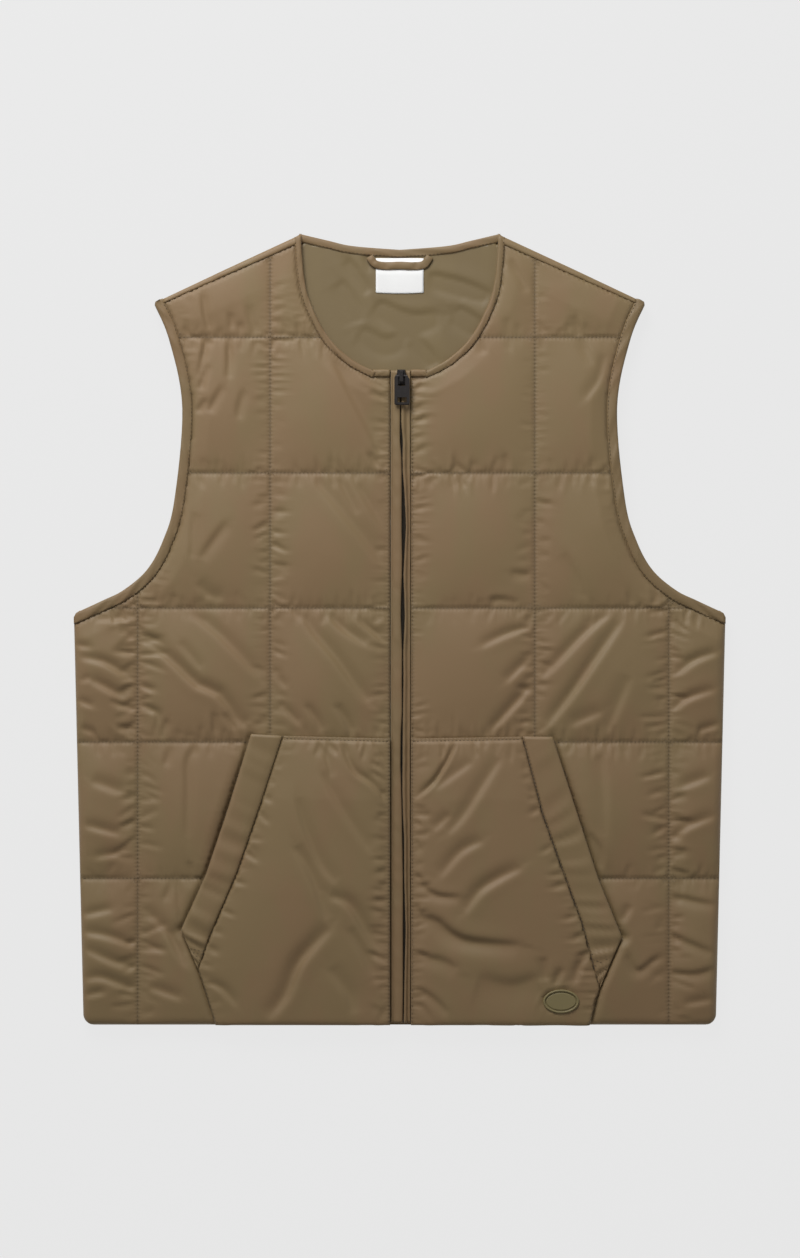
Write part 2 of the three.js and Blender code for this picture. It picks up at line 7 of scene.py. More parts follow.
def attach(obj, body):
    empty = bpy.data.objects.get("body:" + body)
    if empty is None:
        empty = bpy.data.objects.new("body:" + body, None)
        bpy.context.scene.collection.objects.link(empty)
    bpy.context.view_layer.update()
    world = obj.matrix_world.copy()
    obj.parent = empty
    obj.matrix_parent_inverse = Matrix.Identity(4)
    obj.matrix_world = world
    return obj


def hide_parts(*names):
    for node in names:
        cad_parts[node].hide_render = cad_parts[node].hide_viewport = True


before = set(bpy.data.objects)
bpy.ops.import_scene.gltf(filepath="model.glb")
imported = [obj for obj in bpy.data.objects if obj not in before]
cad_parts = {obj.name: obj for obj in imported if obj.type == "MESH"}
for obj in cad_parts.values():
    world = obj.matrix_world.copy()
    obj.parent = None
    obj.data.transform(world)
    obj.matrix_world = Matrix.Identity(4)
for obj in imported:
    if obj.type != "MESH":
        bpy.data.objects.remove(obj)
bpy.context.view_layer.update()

MM = 0.001

# The camera looks straight down on the vest, which lies front up with its neck at the top of the picture.
# The table is plain and pale. A wide soft lamp hangs beyond the neck and a weaker one at each side.
camera = bpy.data.objects.new("camera", bpy.data.cameras.new("camera"))
camera.location = (0.00026, 0, 3.0)
camera.data.sensor_fit = "VERTICAL"
camera.data.sensor_height = 36
camera.data.lens = 99.6
bpy.context.scene.collection.objects.link(camera)
bpy.context.scene.camera = camera


def lamp(name, place, target, size, watts):
    light = bpy.data.objects.new(name, bpy.data.lights.new(name, "AREA"))
    light.data.shape = "DISK"
    light.data.size = size
    light.data.energy = watts
    light.location = place
    light.rotation_euler = (Vector(target) - Vector(place)).to_track_quat("-Z", "Y").to_euler()
    bpy.context.scene.collection.objects.link(light)


lamp("neck_lamp", (-0.5, 1.45, 1.15), (0, 0.1, 0), 1.1, 34)
lamp("left_lamp", (1.9, 0.3, 1.6), (0, 0, 0), 1.5, 4)
lamp("right_lamp", (-1.9, 0.3, 1.6), (0, 0, 0), 1.5, 4)
world = bpy.data.worlds.new("studio")
world.use_nodes = True
world.node_tree.nodes["Background"].inputs["Color"].default_value = (1, 1, 1, 1)
world.node_tree.nodes["Background"].inputs["Strength"].default_value = 0.2
bpy.context.scene.world = world
bpy.context.scene.view_settings.view_transform = "Standard"


class Shade:
    """A value in a material. Plain arithmetic on it adds the Math nodes."""

    def __init__(self, tree, socket):
        self.tree = tree
        self.socket = socket

    def node(self, kind, settings, values, output=0):
        made = self.tree.nodes.new(kind)
        for name, value in settings.items():
            if name == "stops":
                ramp = made.color_ramp.elements
                while len(ramp) < len(value):
                    ramp.new(0.5)
                for stop, (place, colour) in zip(ramp, value):
                    stop.position = place
                    stop.color = colour
            else:
                setattr(made, name, value)
        for name, value in values.items():
            if isinstance(value, Shade):
                self.tree.links.new(value.socket, made.inputs[name])
            else:
                made.inputs[name].default_value = value
        return Shade(self.tree, made.outputs[output])

    def maths(self, operation, first, second=0.0):
        return self.node("ShaderNodeMath", {"operation": operation}, {0: first, 1: second})

    def __add__(self, other):
        return self.maths("ADD", self, other)

    def __radd__(self, other):
        return self.maths("ADD", other, self)

    def __mul__(self, other):
        return self.maths("MULTIPLY", self, other)

    def __rmul__(self, other):
        return self.maths("MULTIPLY", other, self)

    def __pow__(self, other):
        return self.maths("POWER", self, other)

    def wave(self, length):
        return self.maths("SINE", self * (2 * np.pi / length))

    def blend(self, first, second):
        """This value's share of the second colour over the first."""
        return self.node("ShaderNodeMix", {"data_type": "RGBA"},
                         {"Factor": self, 6: first, 7: second}, 2)


def linear(red, green, blue):
    """A colour that was read off the photograph as 0 to 255, as Blender wants it."""
    parts = np.array([red, green, blue]) / 255
    return (*np.where(parts > 0.04045, ((parts + 0.055) / 1.055) ** 2.4, parts / 12.92), 1)


def material(name):
    """A new material, with its shader and the places that its patterns are measured from."""
    made = bpy.data.materials.new(name)
    made.use_nodes = True
    tree = made.node_tree
    places = tree.nodes.new("ShaderNodeTexCoord")
    return made, tree.nodes["Principled BSDF"], Shade(tree, places.outputs["Object"])


table_cloth, shader, place = material("table")
shader.inputs["Base Color"].default_value = (0.04, 0.04, 0.04, 1)
shader.inputs["Roughness"].default_value = 1.0
shader.inputs["Specular IOR Level"].default_value = 0.0
shader.inputs["Emission Color"].default_value = (1, 1, 1, 1)
shader.inputs["Emission Strength"].default_value = 0.773
top = bmesh.new()
bmesh.ops.create_grid(top, x_segments=1, y_segments=1, size=12)
JUST_BELOW = -0.0004
bmesh.ops.translate(top, verts=top.verts, vec=(0, 0, JUST_BELOW))
table = bpy.data.objects.new("table", bpy.data.meshes.new("table"))
top.to_mesh(table.data)
table.data.materials.append(table_cloth)
bpy.context.scene.collection.objects.link(table)


# Shell cloth: a light plain-weave nylon, olive brown, a little redder in soft random patches.
# It is piece-dyed, has a soft satin sheen, and covers the back, the fronts and the pockets.
PUCKER_PITCH, PUCKER_DEPTH = 3.4, 0.00012
THREAD_DEPTH, SLUB_DEPTH = 0.00001, 0.00004
# Near a seam the colour is painted darker by these amounts: painted shade in the stitched grooves.
PAINTED_SEAM_SHADE, PAINTED_SHADE_TONE = 0.34, 0.6
CAST_PATCHES = (26, 12, 26)


def dyed_cloth(name, main, cast, roughness, sheen, weave=0.0007):
    """Woven nylon. Its seam and run attributes say where it is sewn, and there it puckers and its colour is
    painted darker as painted shade.
    """
    made, shader, place = material(name)
    tree = place.tree
    flat = place.node("ShaderNodeSeparateXYZ", {}, {"Vector": place})
    across = Shade(tree, flat.socket.node.outputs["X"])
    along = Shade(tree, flat.socket.node.outputs["Y"])
    seam = place.node("ShaderNodeAttribute", {"attribute_name": "seam"}, {}, "Fac")
    run = place.node("ShaderNodeAttribute", {"attribute_name": "run"}, {}, "Fac")
    stretched = place.node("ShaderNodeMapping", {}, {"Vector": place, "Scale": CAST_PATCHES})
    drift = place.node("ShaderNodeTexNoise", {},
                       {"Vector": stretched, "Scale": 1.0, "Detail": 2.0, "Roughness": 0.5})
    redder = place.node("ShaderNodeMapRange", {"interpolation_type": "SMOOTHSTEP"},
                        {"Value": drift, "From Min": 0.38, "From Max": 0.62})
    colour = redder.blend(linear(*main), linear(*cast))
    # Painted shade: near a seam the colour is blended towards a darker tone of the main colour.
    colour = ((seam ** 3) * PAINTED_SEAM_SHADE).blend(colour, linear(*(PAINTED_SHADE_TONE * np.array(main))))
    tree.links.new(colour.socket, shader.inputs["Base Color"])
    pucker = run.wave(PUCKER_PITCH) * seam * PUCKER_DEPTH
    slub = place.node("ShaderNodeTexNoise", {}, {"Vector": place, "Scale": 240.0, "Detail": 2.0})
    woven = across.wave(weave) * along.wave(weave) * THREAD_DEPTH + slub * SLUB_DEPTH
    bump = place.node("ShaderNodeBump", {}, {"Height": woven + pucker, "Strength": 0.6, "Distance": 1.0})
    tree.links.new(bump.socket, shader.inputs["Normal"])
    tree.links.new((drift * 0.12 + (roughness - 0.06)).socket, shader.inputs["Roughness"])
    shader.inputs["Sheen Weight"].default_value = sheen
    shader.inputs["Sheen Roughness"].default_value = 0.4
    return made


shell = dyed_cloth("shell_cloth", (129, 108, 74), (131, 106, 74), 0.58, 0.1)


# Back panel: two layers of shell cloth with wadding between, stitched through in squares.
# It is cut in one piece and turned over the shoulders, so its seam lies on the front there.
def smooth_curve(points, steps):
    """A soft line through a few points, in that many steps."""
    p = np.array(points, float)
    t = np.linspace(0, len(p) - 1, steps + 1)
    i = np.clip(t.astype(int), 0, len(p) - 2)
    f = (t - i)[:, None]
    a, b, c, d = p[np.maximum(i - 1, 0)], p[i], p[i + 1], p[np.minimum(i + 2, len(p) - 1)]
    return 0.5 * (2 * b + (c - a) * f + (2 * a - 5 * b + 4 * c - d) * f**2 + (3 * b - a - 3 * c + d) * f**3)


def alongside(line, distance):
    """The same line, moved to its left by a distance."""
    before = np.vstack([line[:1], line[:-1]])
    after = np.vstack([line[1:], line[-1:]])
    along = after - before
    along /= np.linalg.norm(along, axis=1)[:, None]
    return line + distance * np.stack([-along[:, 1], along[:, 0]], 1)


def beside(line, x, y):
    """How far each point lies to the left of a line, and how far along the line it is, 0 to 1."""
    nearest = np.full(x.shape, 1e9)
    left = np.zeros(x.shape)
    share = np.zeros(x.shape)
    for step, ((ax, ay), (bx, by)) in enumerate(zip(line, line[1:])):
        dx, dy = bx - ax, by - ay
        t = np.clip(((x - ax) * dx + (y - ay) * dy) / (dx * dx + dy * dy), 0, 1)
        away = np.hypot(x - ax - t * dx, y - ay - t * dy)
        closer = away < nearest
        nearest = np.where(closer, away, nearest)
        left = np.where(closer, away * np.sign(dx * (y - ay) - dy * (x - ax)), left)
        share = np.where(closer, (step + t) / (len(line) - 1), share)
    return left, share


def is_inside(outline, x, y):
    inside = np.zeros(x.shape, bool)
    for (ax, ay), (bx, by) in zip(outline, np.roll(outline, -1, 0)):
        if ay != by:
            inside ^= ((ay > y) != (by > y)) & (x < (bx - ax) * (y - ay) / (by - ay) + ax)
    return inside


STITCH_FLAT = 0.9
ROLL_STEPS, ROLL_END = np.array([0.5, 1.2, 2.4, 3.9]), 5.2


def threads(lines, step, fine_ends=(False, False)):
    """Grid threads evenly between stitch lines, closer beside each line and at an end that rolls over."""
    places = [lines[0]]
    for start, stop in zip(lines, lines[1:]):
        count = max(1, round((stop - start) / step))
        places += list(start + (stop - start) * np.arange(1, count + 1) / count)
    for line in lines[1:-1]:
        places += [line - STITCH_FLAT, line + STITCH_FLAT]
    places.sort()
    if fine_ends[0]:
        first, inner = places[0], [place for place in places[1:] if place > places[0] + ROLL_END]
        places = [first, *(first + ROLL_STEPS), *inner]
    if fine_ends[1]:
        last, inner = places[-1], [place for place in places[:-1] if place < places[-1] - ROLL_END]
        places = [*inner, *(last - ROLL_STEPS[::-1]), last]
    return np.array(places)


SWELL_SHAPE = 0.64


def swell(lines, places):
    """0 on each stitch line and 1 halfway between two of them."""
    lines = np.array(lines, float)
    below = np.clip(np.searchsorted(lines, places) - 1, 0, len(lines) - 2)
    room = lines[below + 1] - lines[below] - 2 * STITCH_FLAT
    share = np.clip((places - lines[below] - STITCH_FLAT) / room, 0, 1)
    return np.sin(np.pi * share) ** SWELL_SHAPE


def soften(values, rounds):
    for _ in range(rounds):
        values = (values + np.roll(values, 1, 0) + np.roll(values, -1, 0)
                  + np.roll(values, 1, 1) + np.roll(values, -1, 1)) / 5
    return values


def creases(x, y, folds):
    """Folds along given lines: each dips along its line, is steeper on its left, and fades at its ends."""
    rise = np.zeros(x.shape)
    for points, depth, width in folds:
        line = smooth_curve(points, 12)
        near = (x > line[:, 0].min() - 5 * width) & (x < line[:, 0].max() + 5 * width)
        near &= (y > line[:, 1].min() - 5 * width) & (y < line[:, 1].max() + 5 * width)
        left, share = beside(line, x[near], y[near])
        fade = np.sin(np.pi * np.clip(share, 0.015, 0.985)) ** 0.6
        dip = np.exp(-((left / (width * np.where(left > 0, 0.6, 1.5))) ** 2))
        lip = 0.12 * np.exp(-(((left - 1.5 * width) / (1.2 * width)) ** 2))
        rise[near] += depth * fade * (lip - dip)
    return rise


def whiskers(line, seed, reach=(8, 18), depth=0.9, slant=0.0):
    """Short puckers that run out on both sides of a row of stitches, where the cloth is eased in."""
    chance = np.random.default_rng(seed)
    spots = evenly(np.array(line, float), 6.5)
    ahead = (spots[-1] - spots[0]) / np.linalg.norm(spots[-1] - spots[0])
    out = np.array([-ahead[1], ahead[0]])
    folds = []
    for spot in spots[1:-1]:
        for way in (-1, 1):
            if chance.random() < 0.35:
                continue
            start = spot + way * 0.8 * out + chance.uniform(-2.4, 2.4) * ahead
            length = chance.uniform(*reach)
            end = start + length * (way * out + (slant + chance.normal(0, 0.3)) * ahead)
            folds.append(([start, end], depth * chance.uniform(0.15, 1.0), chance.uniform(1.7, 2.9)))
    return folds


ROUNDS, QUICK_ROUNDS = 400, 40
STIFFNESS, BIAS_HOLD = 0.07, 0.35


def settle(x, y, height, free, gather_across, gather_up, seed, filling=0.005, shake=0.7):
    """Lets cloth that is longer than its seams find its shape over the wadding.

    Threads along, across and on the bias keep their length, the wadding draws the cloth
    towards its height, and the cloth resists bending away from it. Sewn points stay where they are.
    """
    chance = np.random.default_rng(seed)
    uneven = soften(chance.standard_normal(x.shape), 200)
    uneven = 1 + 0.7 * np.clip(uneven / uneven.std(), -1.4, 1.4)
    cloth = np.dstack([x, y, height])
    rows, columns = x.shape
    every, groups = slice(None), []
    left, right = slice(0, columns - 1), slice(1, columns)
    for s in (0, 1):
        low, high = slice(s, rows - 1, 2), slice(s + 1, rows, 2)
        even, odd = slice(s, columns - 1, 2), slice(s + 1, columns, 2)
        groups.append(((every, even), (every, odd), 1.0, gather_across))
        groups.append(((low, every), (high, every), 1.0, gather_up))
        groups.append(((low, left), (high, right), BIAS_HOLD, (gather_across + gather_up) / 2))
        groups.append(((low, right), (high, left), BIAS_HOLD, (gather_across + gather_up) / 2))
    lengths = []
    for a, b, _, gather in groups:
        spare = (0.004 + gather) * uneven
        lengths.append(np.linalg.norm(cloth[b] - cloth[a], axis=2) * (1 + (spare[a] + spare[b]) / 2))
    grain = soften(chance.standard_normal(x.shape), 7)
    cloth[..., 2] += free * shake * grain / grain.std()
    for _ in range(ROUNDS):
        for (a, b, strength, _), length in zip(groups, lengths):
            gap = cloth[b] - cloth[a]
            now = np.sqrt((gap * gap).sum(2)) + 1e-9
            share = strength * (now - length) / now / (free[a] + free[b] + 1e-9)
            cloth[a] += gap * (share * free[a])[..., None]
            cloth[b] -= gap * (share * free[b])[..., None]
        off = cloth[..., 2] - height
        bend = np.zeros_like(off)
        around = off[2:, 1:-1] + off[:-2, 1:-1] + off[1:-1, 2:] + off[1:-1, :-2]
        bend[1:-1, 1:-1] = around / 4 - off[1:-1, 1:-1]
        cloth[..., 2] += free * (STIFFNESS * bend - filling * off)
    return cloth


def add_piece(name, mesh, finish, body="vest"):
    """Puts a finished mesh in the scene as one piece of the vest."""
    bmesh.ops.recalc_face_normals(mesh, faces=mesh.faces)
    for face in mesh.faces:
        face.smooth = True
    piece = bpy.data.objects.new(name, bpy.data.meshes.new(name))
    mesh.to_mesh(piece.data)
    mesh.free()
    piece.data.materials.append(finish)
    bpy.context.scene.collection.objects.link(piece)
    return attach(piece, body)


SEAM_REACH = 2.6


def cloth_grid(cloth, keep, side=1, seam=None, run=None):
    """A grid of faces through the settled points, without those outside the cut."""
    rows, columns = cloth.shape[:2]
    mesh = bmesh.new()
    bmesh.ops.create_grid(mesh, x_segments=columns - 1, y_segments=rows - 1, size=1)
    for vertex, (x, y, z) in zip(mesh.verts, cloth.reshape(-1, 3)):
        vertex.co = (side * x * MM, y * MM, z * MM)
    if seam is not None:
        nearness = mesh.verts.layers.float.new("seam")
        place_on_seam = mesh.verts.layers.float.new("run")
        for vertex, near, place_on in zip(mesh.verts, np.exp(-((seam / SEAM_REACH) ** 2)).flat, run.flat):
            vertex[nearness] = near
            vertex[place_on_seam] = place_on
    inside = keep[:-1, :-1] & keep[1:, :-1] & keep[:-1, 1:] & keep[1:, 1:]
    outside = [face for face, kept in zip(mesh.faces, inside.reshape(-1)) if not kept]
    bmesh.ops.delete(mesh, geom=outside, context="FACES")
    return mesh


def close_below(mesh, floor):
    """Draws the rim of a padded panel straight down and gives it a plain back."""
    rim = [edge for edge in mesh.edges if edge.is_boundary]
    drawn = bmesh.ops.extrude_edge_only(mesh, edges=rim)["geom"]
    lower = [v for v in drawn if isinstance(v, bmesh.types.BMVert)]
    for vertex in lower:
        vertex.co.z = floor * MM
    ring = [e for e in drawn if isinstance(e, bmesh.types.BMEdge) and e.is_boundary]
    bmesh.ops.triangle_fill(mesh, use_beauty=True, edges=ring, normal=(0, 0, -1))


def sewing(name, lines, thread, pitch=3.3, length=2.3, thick=0.42):
    """Rows of stitches. Each line is (points, height, side), and each stitch a small lozenge of thread."""
    mesh = bmesh.new()
    for points, height, side in lines:
        points = np.array(points, float) * (side, 1)
        steps = np.linalg.norm(np.diff(points, axis=0), axis=1)
        along = np.concatenate([[0], np.cumsum(steps)])
        for spot in np.arange(pitch / 2, along[-1], pitch):
            near = (spot - 0.5, spot, spot + 0.5)
            x, y = (np.interp(near, along, points[:, axis]) for axis in (0, 1))
            turn = Euler((0, 0, np.arctan2(y[2] - y[0], x[2] - x[0])))
            size = Vector((length, thick, 0.7 * thick))
            place = Matrix.LocRotScale(Vector((x[1], y[1], height)) * MM, turn, size * MM)
            bmesh.ops.create_icosphere(mesh, subdivisions=1, radius=0.5, matrix=place)
    return add_piece(name, mesh, thread)


def tape(starts, ends, section, ripple=0.0, skew=2, seed=0, side=1, tuck=(0, 0)):
    """A folded strip. Row by row it spans from a point of starts to one of ends.

    The section goes round the strip: share of its width, and height. A ripple gathers its upper face,
    all along or row by row, and tuck says how many rows turn down at each end.
    """
    starts, ends, section = np.array(starts, float), np.array(ends, float), np.array(section, float)
    section = np.vstack([section, section[:1]])
    rows, columns = len(starts), len(section)
    ripple = np.broadcast_to(ripple, rows)
    chance = np.random.default_rng(seed)
    gather = chance.standard_normal(rows + skew * columns + 4)
    gather = np.convolve(gather, [0.3, 0.8, 0.8, 0.3], "same")
    mesh = bmesh.new()
    bmesh.ops.create_grid(mesh, x_segments=columns - 1, y_segments=rows - 1, size=1)
    vertices = iter(mesh.verts)
    upper = section[:, 1] > section[:, 1].mean()
    low = section[:, 1].min()
    for row in range(rows):
        for column, (share, height) in enumerate(section):
            x, y = starts[row] + (ends[row] - starts[row]) * share
            column = column % (columns - 1)
            middle = max(0, 1 - (2 * share - 1) ** 4)
            lift = ripple[row] * middle * gather[row + skew * column] if upper[column] else 0
            inward = min(1, (row + 0.3) / max(tuck[0], 0.3), (rows - row - 0.7) / max(tuck[1], 0.3))
            down = (height - low) * (1 - (1 - (1 - inward) ** 2) ** 0.5)
            next(vertices).co = (side * x * MM, y * MM, (height + lift - down) * MM)
    bmesh.ops.remove_doubles(mesh, verts=mesh.verts, dist=0.000001)
    bmesh.ops.holes_fill(mesh, edges=[e for e in mesh.edges if e.is_boundary], sides=0)
    return mesh


def evenly(line, step):
    """The same line in equal steps."""
    along = np.concatenate([[0], np.cumsum(np.linalg.norm(np.diff(line, axis=0), axis=1))])
    spots = np.linspace(0, along[-1], max(2, round(along[-1] / step) + 1))
    return np.stack([np.interp(spots, along, line[:, 0]), np.interp(spots, along, line[:, 1])], 1)


hem, HEM_ROUND, UNDERARM = -340, 9, 13
HALF_HEM, HALF_CHEST = 271.7, 280


def side_line(y):
    """Where the side lies at each height. It rounds into the hem."""
    corner = np.clip((hem + HEM_ROUND - y) / HEM_ROUND, 0, 1)
    return np.interp(y, [hem, UNDERARM], [HALF_HEM, HALF_CHEST]) - HEM_ROUND * (1 - np.sqrt(1 - corner**2))


rows = [-340, -214, -97, 18, 134, 250.5, 345]
armhole = smooth_curve([(211.5, 280), (198, 248), (186.8, 190), (193.6, 110.7), (203.4, 76), (217, 51),
                        (237, 33.6), (255, 24.6), (HALF_CHEST, UNDERARM)], 60)


# The back lies under the fronts, so only its underside, sides, shoulder turn and lined neck show.
# Its crowns are pressed flat on the table and its stitch lines stand up as shallow grooves.
BACK_TOP, BACK_GROOVE, BACK_OUTER, BACK_STEP = 7.0, 1.9, 228, 4.2
back_columns = [-HALF_CHEST, -BACK_OUTER, -113, 0, 113, BACK_OUTER, HALF_CHEST]
across = threads(back_columns, BACK_STEP, (True, True))
x, y = np.meshgrid(across, threads([*rows[:-1], 336], BACK_STEP, (True, False)))
side_edge = side_line(y)
outer_width = (np.abs(x) - BACK_OUTER) * (side_edge - BACK_OUTER) / (HALF_CHEST - BACK_OUTER)
x = np.where(np.abs(x) > BACK_OUTER, np.sign(x) * (BACK_OUTER + outer_width), x)
half_cut = np.vstack([[(0, hem - 1), (281, hem - 1), (290, 4)], alongside(armhole, -5)[::-1],
                      [(211, 276.5), (91, 334), (83, 336), (62, 331.5), (40, 326.7), (0, 323.5)]])
keep = is_inside(half_cut, np.abs(x), y)
from_arm = np.abs(beside(alongside(armhole, -9), np.abs(x), y)[0])
from_neck = np.abs(beside(np.array([(84, 333), (62, 329), (40, 324), (0, 321)], float), np.abs(x), y)[0])
puff = swell([-284, *back_columns[1:-1], 284], x) * swell([-345, *rows[1:-1], 345], y)
groove = np.exp(-puff * 4) * BACK_GROOVE
roll = np.minimum(np.clip(side_edge - np.abs(x), 0, 6), np.clip(y - hem, 0, 6)) / 6
inner = np.minimum(np.clip(from_arm, 0, 6), np.clip(from_neck, 0, 6)) / 6
back_folds = [([(-150, -60), (-60, -95)], -0.8, 6), ([(40, 90), (140, 40)], -0.8, 6)]
height = np.maximum(groove + creases(x, y, back_folds), 0)
height += 4.2 * (1 - np.sqrt(1 - (1 - roll) ** 2)) + 2.2 * (1 - np.sqrt(1 - (1 - inner) ** 2))
mesh = cloth_grid(np.dstack([x, y, height]), keep, 1, np.full(x.shape, 50.0), x)
bmesh.ops.reverse_faces(mesh, faces=mesh.faces)
rim = [edge for edge in mesh.edges if edge.is_boundary]
drawn = bmesh.ops.extrude_edge_only(mesh, edges=rim)["geom"]
for vertex in [v for v in drawn if isinstance(v, bmesh.types.BMVert)]:
    at_side = abs(vertex.co.x) > (side_line(vertex.co.y / MM) - 3) * MM or vertex.co.y < (hem + 3.5) * MM
    vertex.co.z = 0.0084 if at_side else BACK_TOP * MM
ring = [e for e in drawn if isinstance(e, bmesh.types.BMEdge) and e.is_boundary]
bmesh.ops.triangle_fill(mesh, use_beauty=True, edges=ring, normal=(0, 0, 1))
back = add_piece("back_panel_cloth", mesh, shell)
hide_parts("back_panel")
for name, side in (("shoulder_turn_right", -1), ("shoulder_turn_left", 1)):
    fold = evenly(np.array([(87.5, 338), (150, 309), (205.5, 282.7)], float), 2.5)
    seam = evenly(np.array([(87.5, 330.8), (148, 304), (203, 279.6)], float), 2.5)[:len(fold)]
    section = [(0.0, 5.5), (0.02, 9.0), (0.1, 11.3), (0.3, 12.3), (0.7, 12.6), (0.92, 12.4),
               (0.99, 11.8), (1.0, 11.0), (0.97, 8.4), (0.9, 2.0), (0.3, 1.0), (0.08, 2.4)]
    add_piece(name, tape(fold[:len(seam)], seam, section, 0.12, 2, 31, side), shell)


# Back lining: smooth olive taffeta, seen only inside the neck, where it hangs in soft slanting folds.
# It is cut like the back and caught under the neck binding.
lining_cloth = dyed_cloth("lining_cloth", (120, 103, 70), (118, 101, 69), 0.48, 0.1)
x_places = np.concatenate([np.arange(-276, -98, 9), np.arange(-95, 96, 2.4), np.arange(99, 277, 9)])
y_places = np.concatenate([np.arange(-337, 190, 9), np.arange(196, 337, 2.4)])
x, y = np.meshgrid(x_places, y_places)
half_cut = np.vstack([[(0, -338), (268, -338), (275, -2)], alongside(armhole, -10)[::-1],
                      [(97, 327), (81, 334), (62, 331), (40, 326), (0, 323)]])
keep = is_inside(half_cut, np.abs(x), y)
lining_folds = [
    ([(-45, 318), (-34, 303), (-24, 289)], 1.6, 4), ([(-28, 322), (-24, 306)], 1.0, 2.5),
    ([(23, 303), (52, 296), (78, 286)], 2.2, 6), ([(48, 274), (62, 266), (72, 258)], 2.2, 7),
    ([(-20, 282), (-4, 271), (14, 266), (34, 270)], 1.8, 8), ([(-52, 300), (-40, 280), (-34, 262)], 1.0, 8),
    ([(12, 250), (24, 238), (32, 226)], 1.2, 6), ([(-34, 258), (-14, 246), (4, 250)], 1.2, 8),
]
under_label = np.clip(np.maximum(np.abs(x) - 22, 286 - y) / 8, 0.15, 1)
height = 7.9 + np.clip(1.3 * creases(x, y, lining_folds) * under_label, -0.7, 2.2)
free = np.where(keep, 1.0, 0.0)
ease = np.full(x.shape, 0.002)
hung = settle(x, y, height, free, ease, ease, 12, filling=0.02, shake=0.2)
mesh = cloth_grid(hung, keep, 1, np.full(x.shape, 50.0), x)
lining = add_piece("back_lining_cloth", mesh, lining_cloth)
solid = lining.modifiers.new("thickness", "SOLIDIFY")
solid.thickness = 0.0004
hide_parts("back_lining")


# Front panels: shell cloth over wadding, stitched through in squares about 115 mm wide.
# The outer columns run under the arm to the hem, and the inner ones stop at the pocket.
front_neck = smooth_curve([(84.5, 340), (83.8, 322), (80.2, 292), (71.6, 269), (59.9, 249), (44.9, 234.4),
                           (32, 226.2), (20.5, 221)], 40)
FRONT_FLOOR, FRONT_SEWN, FRONT_PUFF, FRONT_STEP = 8.6, 11.6, 5.4, 2.1
RIGHT_ZIP_EDGE, LEFT_ZIP_EDGE = 8.2, 9.6
quilting_thread = dyed_cloth("quilting_thread", (70, 58, 41), (74, 59, 42), 0.6, 0.0)


def gathered(away, most=0.03):
    """How much longer the cloth is than its seam, at some distance from it."""
    return most * np.exp(-((away / 15) ** 2))


